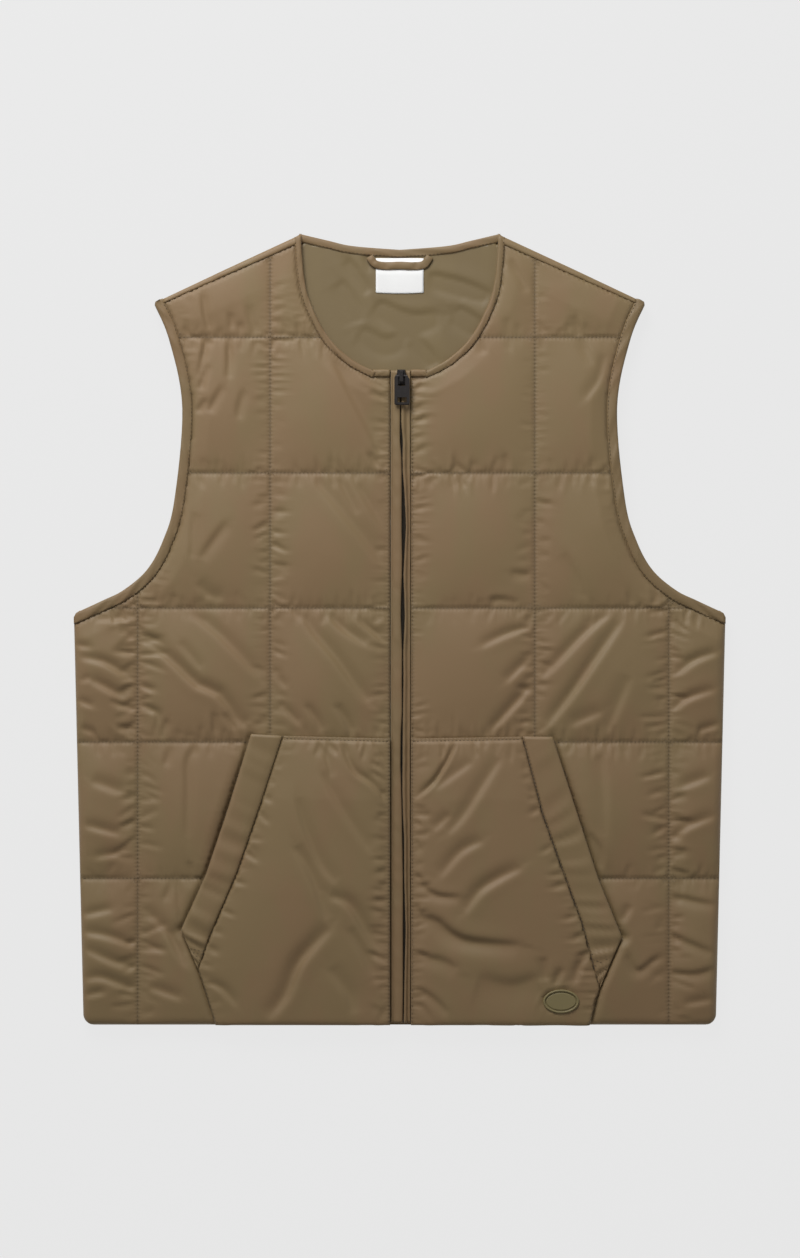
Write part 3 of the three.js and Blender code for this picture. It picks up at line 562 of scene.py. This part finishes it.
def front_panel(name, side, zip_edge, columns, pocket_edge, folds, seed):
    """pocket_edge is the pocket's outline from its top inner corner round its mouth to the hem."""
    across = threads([zip_edge, *columns, HALF_CHEST], FRONT_STEP, (False, True))
    x, y = np.meshgrid(across, threads(rows, FRONT_STEP, (True, False)))
    side_edge = side_line(y)
    outer = columns[-1]
    x = np.where(x > outer, outer + (x - outer) * (side_edge - outer) / (HALF_CHEST - outer), x)
    shoulder = np.array([(203, 279.6), (148, 304), (90.8, 329.3)])
    cut = np.vstack([[(zip_edge - 1, hem - 1), (281, hem - 1), (290, 4)], alongside(armhole, -3)[::-1][:-1],
                     shoulder + (0, 4), alongside(front_neck, 2)[2:], [(20, 223), (zip_edge - 1, 223)]])
    keep = is_inside(cut, x, y)
    rim = alongside(armhole, -9)
    from_arm = -beside(rim, x, y)[0]
    from_neck = beside(alongside(front_neck, 6), x, y)[0]
    from_shoulder = beside(shoulder, x, y)[0]
    pressed = np.array(pocket_edge, float)
    from_pocket = np.abs(beside(pressed, x, y)[0]) * np.where(is_inside(pressed, x, y), -1, 1)
    from_mouth, up_mouth = beside(pressed[2:5], x, y)
    from_mouth = np.abs(from_mouth)
    puff = swell([zip_edge + 1.7, *columns, 283], x) * swell([-346, *rows[1:]], y) * (from_pocket > 0)
    from_low = np.abs(beside(pressed[:3], x, y)[0])
    held = ((from_arm, 14), (from_neck, 14), (from_shoulder, 24), (from_mouth, 9), (from_low, 6))
    for away, reach in held:
        puff *= np.clip(away / reach, 0, 1) ** 0.5
    eased = []
    for row in rows[1:-1]:
        eased += whiskers([(zip_edge, row), (HALF_CHEST, row)], seed + abs(int(row)), (5, 14), 0.6)
    eased += whiskers([(columns[0], 134), (columns[0], 300)], seed + 40, (5, 12), 0.35)
    eased += whiskers([(columns[0], -94), (columns[0], 134)], seed + 50, (6, 15), 1.0, -0.2)
    eased += whiskers([(columns[1], hem), (columns[1], 30)], seed + 60, (7, 24), 1.1, -0.2)
    eased += whiskers([(zip_edge + 1, -94), (zip_edge + 1, 214)], seed, (5, 12), 0.7)
    fullness = FRONT_PUFF * np.interp(y, [-340, 18, 280], [1, 0.95, 0.68])
    height = FRONT_SEWN + fullness * puff + 1.25 * creases(x, y, folds + eased) * np.minimum(1, 2.5 * puff)
    gape = 1.2 + 1.4 * np.exp(-(((up_mouth - 0.74) / 0.2) ** 2))
    height -= gape * np.exp(-((from_mouth / 2.3) ** 2))
    hidden = (from_shoulder < 0) | (from_arm < 0) | (from_neck < 0)
    height = np.where(hidden, 10.5, height)
    roll = np.minimum(np.clip(side_edge - x, 0, 7) / 7, np.clip(y - hem, 0, 6) / 6)
    height = FRONT_FLOOR + 0.3 + (height - FRONT_FLOOR - 0.3) * np.sqrt(1 - (1 - roll) ** 2)
    from_rows = np.min([np.abs(y - row) for row in rows[1:-1]], axis=0)
    from_columns = np.minimum(np.abs(x - columns[0]), np.abs(x - columns[1]))
    from_zip = np.abs(x - zip_edge - 1.0)
    from_curves = np.minimum(np.minimum(np.abs(from_arm), np.abs(from_neck)), np.abs(from_shoulder))
    sewn = hidden | ~keep | (roll < 0.1) | (x < zip_edge + 1.8) | (from_pocket < 0)
    sewn |= (np.minimum(from_columns, from_rows) < 1.0) | (from_curves < 0.2)
    from_seam = np.minimum(np.minimum(from_columns, from_zip), np.minimum(from_rows, from_curves))
    from_upright = np.minimum(from_columns, from_zip)
    run = np.where(from_upright <= from_seam, y, x + 0.4 * y * (from_curves <= from_seam))
    slack = gathered(from_curves, 0.014) + gathered(np.abs(from_pocket), 0.014)
    padded = settle(x, y, height, np.where(sewn, 0.0, 1.0), gathered(from_rows) + slack,
                    gathered(from_upright) + slack, seed)
    # The pocket mouth counts as a seam here, so the front is painted darker along it as a painted shadow of
    # the opening, and puckers there.
    mesh = cloth_grid(padded, keep, side, np.minimum(from_seam, 1.2 * from_mouth), run)
    close_below(mesh, FRONT_FLOOR)
    piece = add_piece(name + "_cloth", mesh, shell)
    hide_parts(name)
    ends = {-214: 273, -97: 276, 18: 262}
    for row in (134, 250.5):
        ends[row] = np.interp(row, rim[::-1, 1], rim[::-1, 0])
    starts = {-214: 150, -97: 128, 18: zip_edge, 134: zip_edge, 250.5: 68}
    lines = [([(starts[row], row), (end, row)], FRONT_SEWN, side) for row, end in ends.items()]
    lines += [([(columns[0], -97), (columns[0], 318)], FRONT_SEWN, side),
              ([(columns[1], hem + 3), (columns[1], 36)], FRONT_SEWN, side),
              ([(zip_edge + 1.0, -93), (zip_edge + 1.0, 214)], FRONT_SEWN + 0.1, side)]
    sewing(name + "_sewing", lines, quilting_thread)


right_front_folds = [
    ([(225, -6), (209, -16), (190, -32), (173, -48), (155, -56), (140, -76), (130, -85)], 2.4, 4.5),
    ([(180, 15), (153, -6), (116, -45)], 1.7, 5), ([(189, -11), (170, -35)], 1.1, 3.5),
    ([(84, 14), (72, -4), (55, -24), (38, -48), (25, -64)], 2.2, 5),
    ([(62, 14), (47, -1), (28, -14)], 1.7, 4), ([(37, 10), (22, -3), (10, -14)], 1.4, 3),
    ([(109, -36), (98, -51)], 1.2, 3), ([(109, -18), (103, -23)], 1.0, 2.2),
    ([(104, -63), (86, -82)], 1.4, 3.2), ([(81, -65), (73, -76), (67, -88)], 1.6, 3.2),
    ([(55, -65), (47, -77), (41, -90)], 1.6, 3.5), ([(92, 15), (86, 9)], 1.0, 2.5),
    ([(160, -72), (159, -90)], 1.2, 3), ([(151, -73), (141, -87)], 1.3, 3),
    ([(200, -77), (206, -94)], 1.2, 3), ([(216, -69), (208, -74), (211, -92)], 1.2, 2.8),
    ([(224, -48), (211, -54)], 1.2, 2.5), ([(224, -64), (215, -68)], 1.0, 2.3),
    ([(262, 9), (231, 9)], 1.2, 3), ([(279, -14), (264, -16)], 1.2, 3),
    ([(240, -3), (228, -5)], 1.0, 2.2), ([(242, -20), (227, -21)], 1.0, 2.2),
    ([(274, -45), (265, -42)], 1.0, 2.5), ([(274, -24), (255, -28), (242, -35), (229, -43)], 2.0, 3.8),
    ([(265, -43), (235, -60)], 2.0, 3.8), ([(247, -63), (227, -70)], 1.5, 3),
    ([(277, -61), (262, -67)], 1.2, 3), ([(273, -85), (261, -91)], 1.2, 3),
    ([(243, -84), (227, -93)], 1.2, 2.5), ([(56, 233), (41, 202), (25, 171), (12, 142)], 1.5, 6),
    ([(33, 219), (20, 210), (10, 205)], 1.1, 2.6), ([(25, 203), (10, 196)], 1.0, 3),
    ([(27, 150), (19, 139)], 1.0, 2.5), ([(74, 131), (51, 104), (29, 76), (10, 51)], 1.5, 6),
    ([(37, 125), (24, 104), (10, 81)], 1.2, 4.5), ([(53, 130), (44, 113), (36, 98)], 1.1, 3.5),
    ([(131, 278), (122, 242)], 1.0, 4), ([(166, 250), (168, 241), (173, 214)], 1.4, 3),
    ([(164.5, 227), (169, 214), (172, 205.5)], 1.2, 2.5), ([(169, 287), (168, 272), (164, 257)], 1.2, 3),
    ([(146, 271), (145, 257)], 1.1, 3), ([(148, 245), (147, 232), (148, 214)], 1.3, 3),
    ([(134, 205.5), (138, 191), (139, 180)], 1.1, 3.2), ([(152, 209), (161, 193), (164.5, 186)], 1.2, 3),
    ([(166, 198), (174, 186)], 1.1, 2.6), ([(139, 263), (137, 254)], 1.0, 2.6),
    ([(148, 92), (160, 76), (171, 60)], 1.2, 4), ([(176, 100), (178, 82), (179, 60)], 1.1, 4),
    ([(174, 40), (163, 29), (150, 26)], 1.2, 5),
    ([(176, -99), (182, -114), (182, -140), (183, -181)], 1.5, 4), ([(197, -100), (202, -118)], 1.2, 3),
    ([(191, -217), (190, -235), (189, -250)], 1.2, 3), ([(198, -258), (192, -275), (183, -290)], 1.4, 3),
    ([(272, -246), (246, -240)], 1.5, 3.5), ([(272, -260), (252, -263), (226, -272)], 1.8, 4),
    ([(270, -274), (244, -286), (225, -291)], 1.8, 4),
    ([(272, -301), (256, -299), (234, -307), (223, -307)], 1.7, 4), ([(270, -315), (252, -311)], 1.2, 3),
    ([(220, -239), (199, -260), (184, -282)], 1.6, 4.5), ([(195, -214), (203, -233)], 1.2, 3),
    ([(215, -307), (187, -317)], 1.4, 4), ([(264, -130), (236, -141)], 1.6, 5),
    ([(270, -168), (240, -176)], 1.5, 4), ([(262, -196), (232, -190)], 1.3, 3.5),
]
left_front_folds = [
    ([(190, 7), (168, -25), (146, -57), (125, -84)], 2.4, 4.5),
    ([(181, 15), (160, -2), (138, -25), (121, -42)], 1.9, 4.5),
    ([(114, 3), (90, -5), (69, -15)], 1.6, 3.8), ([(113, -23), (90, -46)], 1.5, 4),
    ([(114, -46), (100, -63), (77, -88)], 1.9, 4.2), ([(197, -40), (187, -64), (177, -88)], 1.2, 6),
    ([(174, -70), (146, -82)], 1.2, 5), ([(76, 25), (89, 25), (103, 22)], 1.6, 3.6),
    ([(95, 49), (117, 45)], 1.2, 4), ([(10.5, 203), (20, 212)], 1.0, 2.2),
    ([(10.5, 188), (19, 193)], 1.0, 2.2), ([(10.5, 176), (22, 183)], 1.0, 2.4),
    ([(10.5, 163), (18, 167)], 0.9, 2.2), ([(10.5, 150), (21, 157)], 1.0, 2.4),
    ([(47, 142), (58, 134)], 1.2, 2.6), ([(52, 131), (57, 122)], 1.0, 2.3),
    ([(91, 150), (94, 137)], 1.1, 2.6), ([(66, 251), (73, 236)], 1.0, 4),
    ([(96, 318), (103, 304), (111, 289)], 1.2, 3.5), ([(93, 268), (95, 238)], 1.0, 3.4),
    ([(103, 262), (102, 244)], 0.9, 3), ([(122, 262), (123, 240)], 1.0, 3),
    ([(150, 270), (156, 250), (166, 226)], 1.2, 4), ([(176, 236), (170, 214), (158, 196)], 1.2, 4),
    ([(141, 66), (152, 44), (158, 26)], 1.0, 5), ([(172, -108), (174, -130), (176, -180)], 1.2, 6),
    ([(163, -175), (172, -190), (173, -206)], 1.3, 3.5), ([(198, -237), (191, -252)], 1.4, 3.5),
    ([(196, -278), (204, -293), (222, -281)], 1.6, 3.6),
    ([(231, -227), (251, -233), (271, -237)], 1.5, 3.6),
    ([(229, -261), (249, -270), (268, -278)], 1.7, 4), ([(225, -294), (252, -296), (270, -291)], 1.7, 4),
    ([(272, -20), (252, -27), (238, -38)], 1.9, 3.8), ([(270, -52), (246, -60), (234, -71)], 1.8, 3.6),
    ([(274, -82), (256, -88)], 1.3, 3), ([(266, -126), (240, -136)], 1.6, 4.4),
    ([(270, -160), (246, -170), (234, -182)], 1.6, 4), ([(268, -318), (244, -322)], 1.3, 3.4),
]
front_panel("front_right", -1, RIGHT_ZIP_EDGE, [111.3, 225],
            [(158, -345), (173, -291.7), (187.7, -258), (166.2, -210.6), (127.6, -92), (0, -95),
             (0, -345)], right_front_folds, 3)
front_panel("front_left", 1, LEFT_ZIP_EDGE, [116, 231],
            [(163.3, -345), (171.5, -308), (190.7, -264.3), (170.2, -213.6), (131.5, -93.5), (0, -95),
             (0, -345)], left_front_folds, 8)


# Pockets: unquilted shell cloth over wadding, sewn over the lower fronts along their top and mouth.
# The zip seam holds the inner edge and the hem the lower one, so they swell like low cushions.
POCKET_FLOOR, POCKET_EDGE, POCKET_PUFF, POCKET_TOP = 12.9, 15.3, 5.6, -94
PATCH_X, PATCH_Y, PATCH_WIDE, PATCH_TALL, PATCH_SEAT = 138.4, -319.2, 15.5, 10.25, 16.4


def pocket(name, side, zip_edge, mouth, rise, folds, seed):
    """mouth is the line of the band's stitches, from the top of the pocket to the hem.

    The top edge rises that much from the zip to the outer corner.
    """
    mouth = np.array(mouth, float)
    across = threads([0, 150], 2.0, (False, True)) / 150
    share, y = np.meshgrid(across, threads([hem, POCKET_TOP], 2.1, (True, True)))
    mouth_x = np.interp(y, mouth[::-1, 1], mouth[::-1, 0])
    x = zip_edge + (mouth_x - zip_edge) * share
    in_zip, in_mouth, in_hem, in_top = x - zip_edge, mouth_x - x, y - hem, POCKET_TOP - y
    puff = np.sin(np.pi * share) ** 0.5 * np.clip((in_top - 2.4) / 50, 0, 1) ** 0.5
    puff *= np.clip((in_hem + 6) / 120, 0, 1) ** 0.5
    puff *= np.clip((in_zip - 1.7) / 8, 0, 1) ** 0.5
    eased = whiskers([(zip_edge + 1, hem), (zip_edge + 1, POCKET_TOP)], seed, (6, 16), 1.0, 0.2)
    eased += whiskers([(zip_edge + 1, POCKET_TOP), mouth[0]], seed + 1, (6, 20), 0.8, 0.2)
    for start, stop in zip(mouth, mouth[1:]):
        eased += whiskers([start, stop], seed + int(start[0]), (5, 12), 0.7)
    height = POCKET_EDGE + POCKET_PUFF * puff
    height += 1.5 * creases(x, y, folds + eased) * np.minimum(1, 2.5 * puff)
    height -= 0.8 * np.exp(-(((in_top - 2.6) / 0.9) ** 2))
    roll = np.minimum(np.clip(in_hem, 0, 5) / 5, np.clip(in_top, 0, 1.6) / 1.6)
    roll = np.minimum(roll, np.clip(in_mouth, 0, 2.4) / 2.4)
    height = POCKET_FLOOR + 0.3 + (height - POCKET_FLOOR - 0.3) * np.sqrt(1 - (1 - roll) ** 2)
    badge = np.hypot((x - PATCH_X) / PATCH_WIDE, (y - PATCH_Y) / PATCH_TALL)
    badge = badge if side > 0 else np.full(x.shape, 9.0)
    on_seat = badge < 1.12
    height = np.where(on_seat, PATCH_SEAT, height)
    sewn = on_seat | (in_zip < 1.8) | (in_mouth < 0.2) | (in_hem < 0.2) | (in_top < 2.6)
    from_side = np.minimum(np.abs(in_zip - 1.0), in_mouth)
    from_seam = np.minimum(from_side, in_top)
    slack = gathered(8 * np.abs(badge - 1), 0.012)
    padded = settle(x, y, height, np.where(sewn, 0.0, 1.0), gathered(in_top) + slack,
                    gathered(from_side) + slack, seed)
    padded[..., 1] += rise * x / 128 * np.clip((y + 160) / 66, 0, 1)
    run = np.where(in_top < from_side, x, y)
    mesh = cloth_grid(padded, np.ones(x.shape, bool), side, from_seam, run)
    close_below(mesh, POCKET_FLOOR)
    piece = add_piece(name + "_cloth", mesh, shell)
    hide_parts(name)
    low = mouth[mouth[:, 1] < -285]
    top_row = POCKET_TOP - 2.4
    lines = [([(zip_edge + 1, top_row), (mouth[0][0] - 1, top_row + 0.78 * rise)], 15.0, side),
             ([(zip_edge + 1.0, hem + 2), (zip_edge + 1.0, POCKET_TOP - 2)], 15.4, side),
             ([tuple(low[0] - (2.2, 0)), tuple(low[-1] - (2.2, 0))], 15.4, side)]
    sewing(name + "_sewing", lines, quilting_thread)


right_pocket_folds = [
    ([(114, -335), (98, -314), (88, -289), (75, -272), (59, -255)], 2.6, 5.5),
    ([(60, -228), (43, -236), (28, -260), (15, -281)], 2.0, 5),
    ([(44, -256), (30, -280), (20, -302)], 1.3, 5),
    ([(88, -144), (80, -172), (67, -201), (54, -218)], 1.4, 4.5),
    ([(90, -186), (80, -201), (70, -225), (62, -250)], 1.7, 5),
    ([(67, -123), (51, -151), (25, -191)], 1.2, 4.5),
    ([(51, -97), (40, -121), (24, -133), (10, -150)], 1.5, 2.8), ([(64, -96), (54, -109)], 1.2, 2.6),
    ([(24, -97), (12, -117), (9, -131)], 1.3, 2.8), ([(72, -97), (63, -112), (58, -128)], 1.0, 3.4),
    ([(9, -320), (19, -337)], 1.4, 2.4), ([(165, -302), (152, -309), (140, -323)], 1.4, 3.5),
    ([(60, -290), (44, -312), (40, -330)], 1.2, 6),
]
left_pocket_folds = [
    ([(49, -98), (39, -117), (28, -133), (14, -145)], 2.0, 2.0),
    ([(62, -114), (48, -124), (30, -137)], 1.0, 4),
    ([(86, -111), (73, -131), (54, -160), (40, -175)], 1.5, 5), ([(43, -158), (29, -172)], 1.0, 4),
    ([(104, -204), (84, -214), (68, -225), (55, -243)], 2.0, 4.8),
    ([(71, -181), (52, -191), (34, -212)], 1.5, 4.5), ([(12, -210), (20, -215)], 1.2, 2.2),
    ([(18, -220), (32, -228), (52, -230)], 1.4, 3.5), ([(12, -237), (18, -243)], 1.2, 2.2),
    ([(14, -248), (30, -250), (42, -260), (56, -267), (78, -270), (104, -272)], 2.6, 6),
    ([(66, -300), (95, -307), (120, -300)], 1.6, 12), ([(13, -307), (29, -317), (42, -330)], 1.5, 3.5),
    ([(13, -315), (24, -329), (29, -338)], 1.2, 2.8), ([(139, -291), (133, -307)], 1.2, 2.8),
    ([(124, -281), (126, -302)], 1.1, 4), ([(163, -278), (155, -288), (150, -305)], 1.6, 3.2),
    ([(14, -282), (34, -284), (50, -292)], 1.2, 5),
]
pocket("pocket_right", -1, RIGHT_ZIP_EDGE,
       [(100, -94), (119, -150), (139.6, -209.4), (162.8, -263.4), (173, -291.7), (158, -340)], 3.2,
       right_pocket_folds, 21)
pocket("pocket_left", 1, LEFT_ZIP_EDGE,
       [(105.2, -94), (123, -159.6), (138.8, -204.2), (156.4, -252.3), (171.5, -308), (163.3, -340)], 2.2,
       left_pocket_folds, 27)


# Pocket bands: a strip of the shell cloth, folded double, that finishes each slanting hand opening.
# It is stitched down along its inner edge only, and its outer edge stands off the front.
def pocket_band(name, side, inner, outer, seed):
    share = np.linspace(0, len(inner) - 1, 91)
    inner, outer = np.array(inner), np.array(outer)
    inner = np.stack([np.interp(share, range(len(inner)), inner[:, axis]) for axis in (0, 1)], 1)
    outer = np.stack([np.interp(share, range(len(outer)), outer[:, axis]) for axis in (0, 1)], 1)
    section = [(0.0, 14.2), (0.03, 15.3), (0.12, 16.1), (0.3, 16.4), (0.5, 16.6), (0.7, 16.7),
               (0.86, 16.7), (0.95, 16.5), (0.99, 15.9), (1.0, 15.2), (0.97, 14.6), (0.8, 14.0),
               (0.5, 13.2), (0.03, 12.95)]
    mesh = tape(inner, outer, section, np.linspace(0.2, 0.9, len(inner)), 1, seed, side)
    piece = add_piece(name + "_cloth", mesh, shell)
    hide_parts(name)
    tack = [([tuple(inner[i]), tuple(outer[i])], 16.4, side) for i in (78, 80, 82, 84)]
    sewing(name + "_sewing", [(alongside(inner, 0.9), 15.6, side), *tack], quilting_thread)


pocket_band("pocket_band_right", -1,
            [(100, -91.6), (119, -150), (139.6, -209.4), (162.8, -263.4), (172.9, -291.5)],
            [(127.6, -90), (146, -150), (166.2, -210.6), (187.7, -258), (173.1, -291.5)], 41)
pocket_band("pocket_band_left", 1,
            [(105.2, -92.2), (123, -159.6), (138.8, -204.2), (156.4, -252.3), (171.4, -307.8)],
            [(131.2, -92.4), (151, -154), (170.2, -213.6), (190.7, -264.3), (171.6, -307.8)], 43)


# Bindings: strips of the shell cloth, folded over the raw edges of the neck and armholes and stitched down.
# The cloth is eased round the curves, so it gathers in small slanting puckers.
# Their finish is the shell cloth's colour painted a little darker, as painted shade on the narrow folded
# strips.
trim = dyed_cloth("trim_cloth", (124, 103, 70), (127, 102, 70), 0.58, 0.1)
FRONT_BINDING = [(0.0, 10.9), (0.04, 12.2), (0.12, 12.5), (0.22, 12.8), (0.45, 13.1), (0.7, 13.1),
                 (0.88, 12.9), (0.97, 12.2), (1.0, 10.6), (0.96, 9.3), (0.8, 8.65), (0.05, 8.65)]
BACK_BINDING = [(0.0, 1.2), (0.05, 7.9), (0.4, 8.3), (0.8, 8.2), (0.96, 7.4), (1.0, 5.5), (0.98, 3.0),
                (0.85, 1.2), (0.5, 0.8)]
ARM_BINDING_WIDTH, NECK_BINDING_WIDTH = 9, 6
arm_line = evenly(armhole, 2.2)
arm_edge = np.vstack([[(206.8, 282.7), (210, 280.9), (210.5, 278.2)], arm_line[3:-3],
                      [(274.8, 15.8), (278.2, 13.6), (279.8, 10.4)]])
arm_seam = alongside(arm_line, -ARM_BINDING_WIDTH)[:-3]
arm_seam = np.vstack([arm_seam, [(272.4, 6.9), (276, 5.4), (279.7, 4.4)]])
neck_edge = evenly(front_neck, 2.2)
neck_seam = alongside(neck_edge, NECK_BINDING_WIDTH)
neck_seam[:, 1] = np.minimum(neck_seam[:, 1], 336.4)
for word, side in (("right", -1), ("left", 1)):
    name = "armhole_binding_front_" + word
    mesh = tape(arm_seam, arm_edge, FRONT_BINDING, 0.42, 2, 50 + side, side)
    piece = add_piece(name + "_cloth", mesh, trim)
    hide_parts(name)
    sewing(name + "_sewing", [(alongside(arm_line[2:-1], -8.0), 12.75, side)], quilting_thread)
    name = "armhole_binding_back_" + word
    mesh = tape(arm_seam, arm_edge, BACK_BINDING, 0.1, 2, 60 + side, side)
    piece = add_piece(name + "_cloth", mesh, trim)
    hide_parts(name)
    name = "neck_binding_" + word
    section = [(share, height - 5 * (height < 9)) for share, height in FRONT_BINDING]
    mesh = tape(neck_seam, neck_edge, section, 0.3, 2, 70 + side, side, (2, 0))
    piece = add_piece(name + "_cloth", mesh, trim)
    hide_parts(name)
    sewing(name + "_sewing", [(alongside(neck_edge[3:], 5.0), 12.9, side)], quilting_thread)
for name, inner, side in (("neck_end_right", 8.4, -1), ("neck_end_left", 9.8, 1)):
    x = np.linspace(inner, 23, 10)
    low, high = np.stack([x, np.full(10, 216.6)], 1), np.stack([x, np.full(10, 222.8)], 1)
    section = [(share, height - 0.15 * (height > 9)) for share, height in FRONT_BINDING]
    add_piece(name, tape(low, high, section, 0.15, 1, 5, side), trim)
right_half = smooth_curve([(86.4, 339.8), (62, 334), (40, 329.2), (0, 326)], 40)
edge = evenly(np.vstack([right_half * (-1, 1), right_half[::-1][1:]]), 2.2)
section = [(0.0, 8.6), (0.06, 9.1), (0.2, 9.4), (0.5, 9.5), (0.8, 9.5), (0.95, 9.1), (1.0, 7.6),
           (0.98, 3.0), (0.85, 1.2), (0.5, 0.8), (0.0, 0.9)]
mesh = tape(edge + (0, -7), edge, section, 0.28, 2, 81)
piece = add_piece("neck_binding_back_cloth", mesh, trim)
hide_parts("neck_binding_back")
sewing("neck_binding_back_sewing", [(edge[3:-3] + (0, -6.0), 9.45, 1)], quilting_thread)


# Zip: a nylon coil on dark woven tape, closed to the top, under two narrow folded flaps of shell cloth.
# The flaps are sewn into the front edges and part a little along their length, so the dark tape shows.
zip_dark = dyed_cloth("zip_tape", (44, 38, 27), (48, 41, 30), 0.6, 0.05)
y = np.linspace(-338, 222, 226)
slit = np.array([(-338, 3.0, 0.8), (-310, 3.4, 0.9), (-258, 4.0, 2.2), (-214, 3.4, 0.9), (-179, 3.0, 1.5),
                 (-160, 2.4, 0.7), (-134, 1.8, 0.8), (-118, 1.6, 1.6), (-91, 1.8, 1.5), (-72, 2.4, 0.6),
                 (-44, 2.6, 1.2), (-20, 2.6, 0.7), (11, 2.7, 3.3), (30, 2.6, 2.4), (45, 2.6, 1.1),
                 (60, 3.0, 1.6), (88, 3.6, 3.6), (116, 3.0, 2.2), (135, 2.2, 0.7), (148, 2.0, 0.8),
                 (161, 1.5, 2.3), (178, 0.8, 0.7), (222, 0.8, 0.6)])
middle, gap = np.interp(y, slit[:, 0], slit[:, 1]), np.interp(y, slit[:, 0], slit[:, 2])
flat_flap = [(0.0, 10.9), (0.04, 11.6), (0.1, 12.3), (0.18, 12.0), (0.24, 11.7), (0.32, 12.6),
             (0.6, 13.1), (0.85, 13.5), (0.96, 13.0), (1.0, 12.0), (0.97, 11.2), (0.85, 10.9)]
ridged_flap = [(0.0, 10.9), (0.05, 12.2), (0.16, 12.5), (0.28, 11.6), (0.46, 11.3), (0.6, 12.9),
               (0.76, 13.8), (0.92, 13.5), (1.0, 12.2), (0.97, 11.3), (0.85, 10.9)]
flaps = (("zip_flap_right", -7.9, -0.5, flat_flap), ("zip_flap_left", 9.3, 0.5, ridged_flap))
for name, seam_x, half, section in flaps:
    seam, lip = np.stack([np.full(y.shape, seam_x), y], 1), np.stack([middle + half * gap, y], 1)
    mesh = tape(seam, lip, section, 0.16, 1, 90)
    piece = add_piece(name + "_cloth", mesh, trim)
    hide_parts(name)
half_tape = [(0.0, 8.8), (0.0, 9.9), (1.0, 9.9), (1.0, 8.8)]
mesh = tape(np.stack([np.full(y.shape, -7.8), y], 1), np.stack([np.full(y.shape, 9.2), y], 1), half_tape)
piece = add_piece("zip_woven_tape", mesh, zip_dark)
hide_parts("zip_tape")
teeth = [([(1.2, -337), (1.2, 208)], 10.1, 1), ([(2.6, -336.4), (2.6, 208)], 10.1, 1)]
sewing("zip_coil", teeth, zip_dark, 1.3, 0.9, 1.5)


# Neck label: white woven tape with folded ends, sewn under the back neck binding. It carries nothing.
# The hanger loop is a gathered tube of shell cloth that crosses it.
label_cloth = dyed_cloth("label_weave", (241, 241, 240), (238, 238, 237), 0.6, 0.1, 0.0004)
x = np.linspace(-20.5, 20.5, 24)
drop = 0.7 * (x / 20.5) ** 2
mesh = tape(np.stack([x, 288.2 + drop], 1), np.stack([x, np.full(x.shape, 318.7)], 1),
            [(0.0, 8.75), (0.01, 9.1), (0.05, 9.2), (0.5, 9.2), (1.0, 9.1), (1.0, 8.65), (0.5, 8.65),
             (0.01, 8.6)])
piece = add_piece("neck_label_weave", mesh, label_cloth)
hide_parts("neck_label")
loop = smooth_curve([(-26, 320), (-21, 313.5), (-12, 311.9), (0, 312.2), (12, 311.8), (21, 313.2),
                     (26, 320)], 36)
mesh = tape(alongside(loop, -3.4), alongside(loop, 3.4),
            [(0.0, 9.8), (0.1, 10.3), (0.35, 10.7), (0.7, 10.7), (0.92, 10.3), (1.0, 9.8), (0.9, 9.5),
             (0.1, 9.5)], 0.42, 0, 95)
piece = add_piece("hanger_loop_cloth", mesh, trim)
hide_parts("hanger_loop")


# Oval patch: a small moulded olive badge with a raised rim, a groove inside it and a bare middle.
# It is pressed on the left pocket near the hem, where the cloth is held flat for it.
patch_rubber = dyed_cloth("patch_rubber", (124, 112, 75), (126, 113, 76), 0.6, 0.0)
mesh = bmesh.new()
bmesh.ops.create_circle(mesh, cap_ends=True, segments=72, radius=1)
for vertex in mesh.verts:
    x, y = PATCH_X + PATCH_WIDE * vertex.co.x, PATCH_Y + PATCH_TALL * vertex.co.y
    vertex.co = (x * MM, y * MM, (PATCH_SEAT - 0.1) * MM)
rim = ((0.05, 17.2), (0.5, 18.1), (1.0, 18.1))
groove = ((0.3, 16.8), (0.8, 16.8), (0.4, 17.6), (0.4, 17.6))
for draw, height in rim + groove:
    middle = [face for face in mesh.faces if len(face.verts) == 72]
    bmesh.ops.inset_region(mesh, faces=middle, thickness=draw * MM, use_boundary=True, use_even_offset=True)
    for vertex in middle[0].verts:
        vertex.co.z = height * MM
piece = add_piece("oval_patch_rubber", mesh, patch_rubber)
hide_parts("oval_patch")


# Slider and pull tab: zinc castings with a near-black lacquer, mottled a little by wear all over.
# Their solids are shown as they are, so only the finish is made here.
lacquer, shader, place = material("zip_lacquer")
wear = place.node("ShaderNodeTexNoise", {}, {"Vector": place, "Scale": 900.0, "Detail": 3.0})
place.tree.links.new(wear.blend(linear(44, 41, 41), linear(62, 58, 57)).socket, shader.inputs["Base Color"])
place.tree.links.new((wear * 0.3 + 0.28).socket, shader.inputs["Roughness"])
shader.inputs["Metallic"].default_value = 0.6
for name in ("zip_slider", "zip_pull_tab"):
    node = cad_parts[name]
    node.data.materials.clear()
    node.data.materials.append(lacquer)
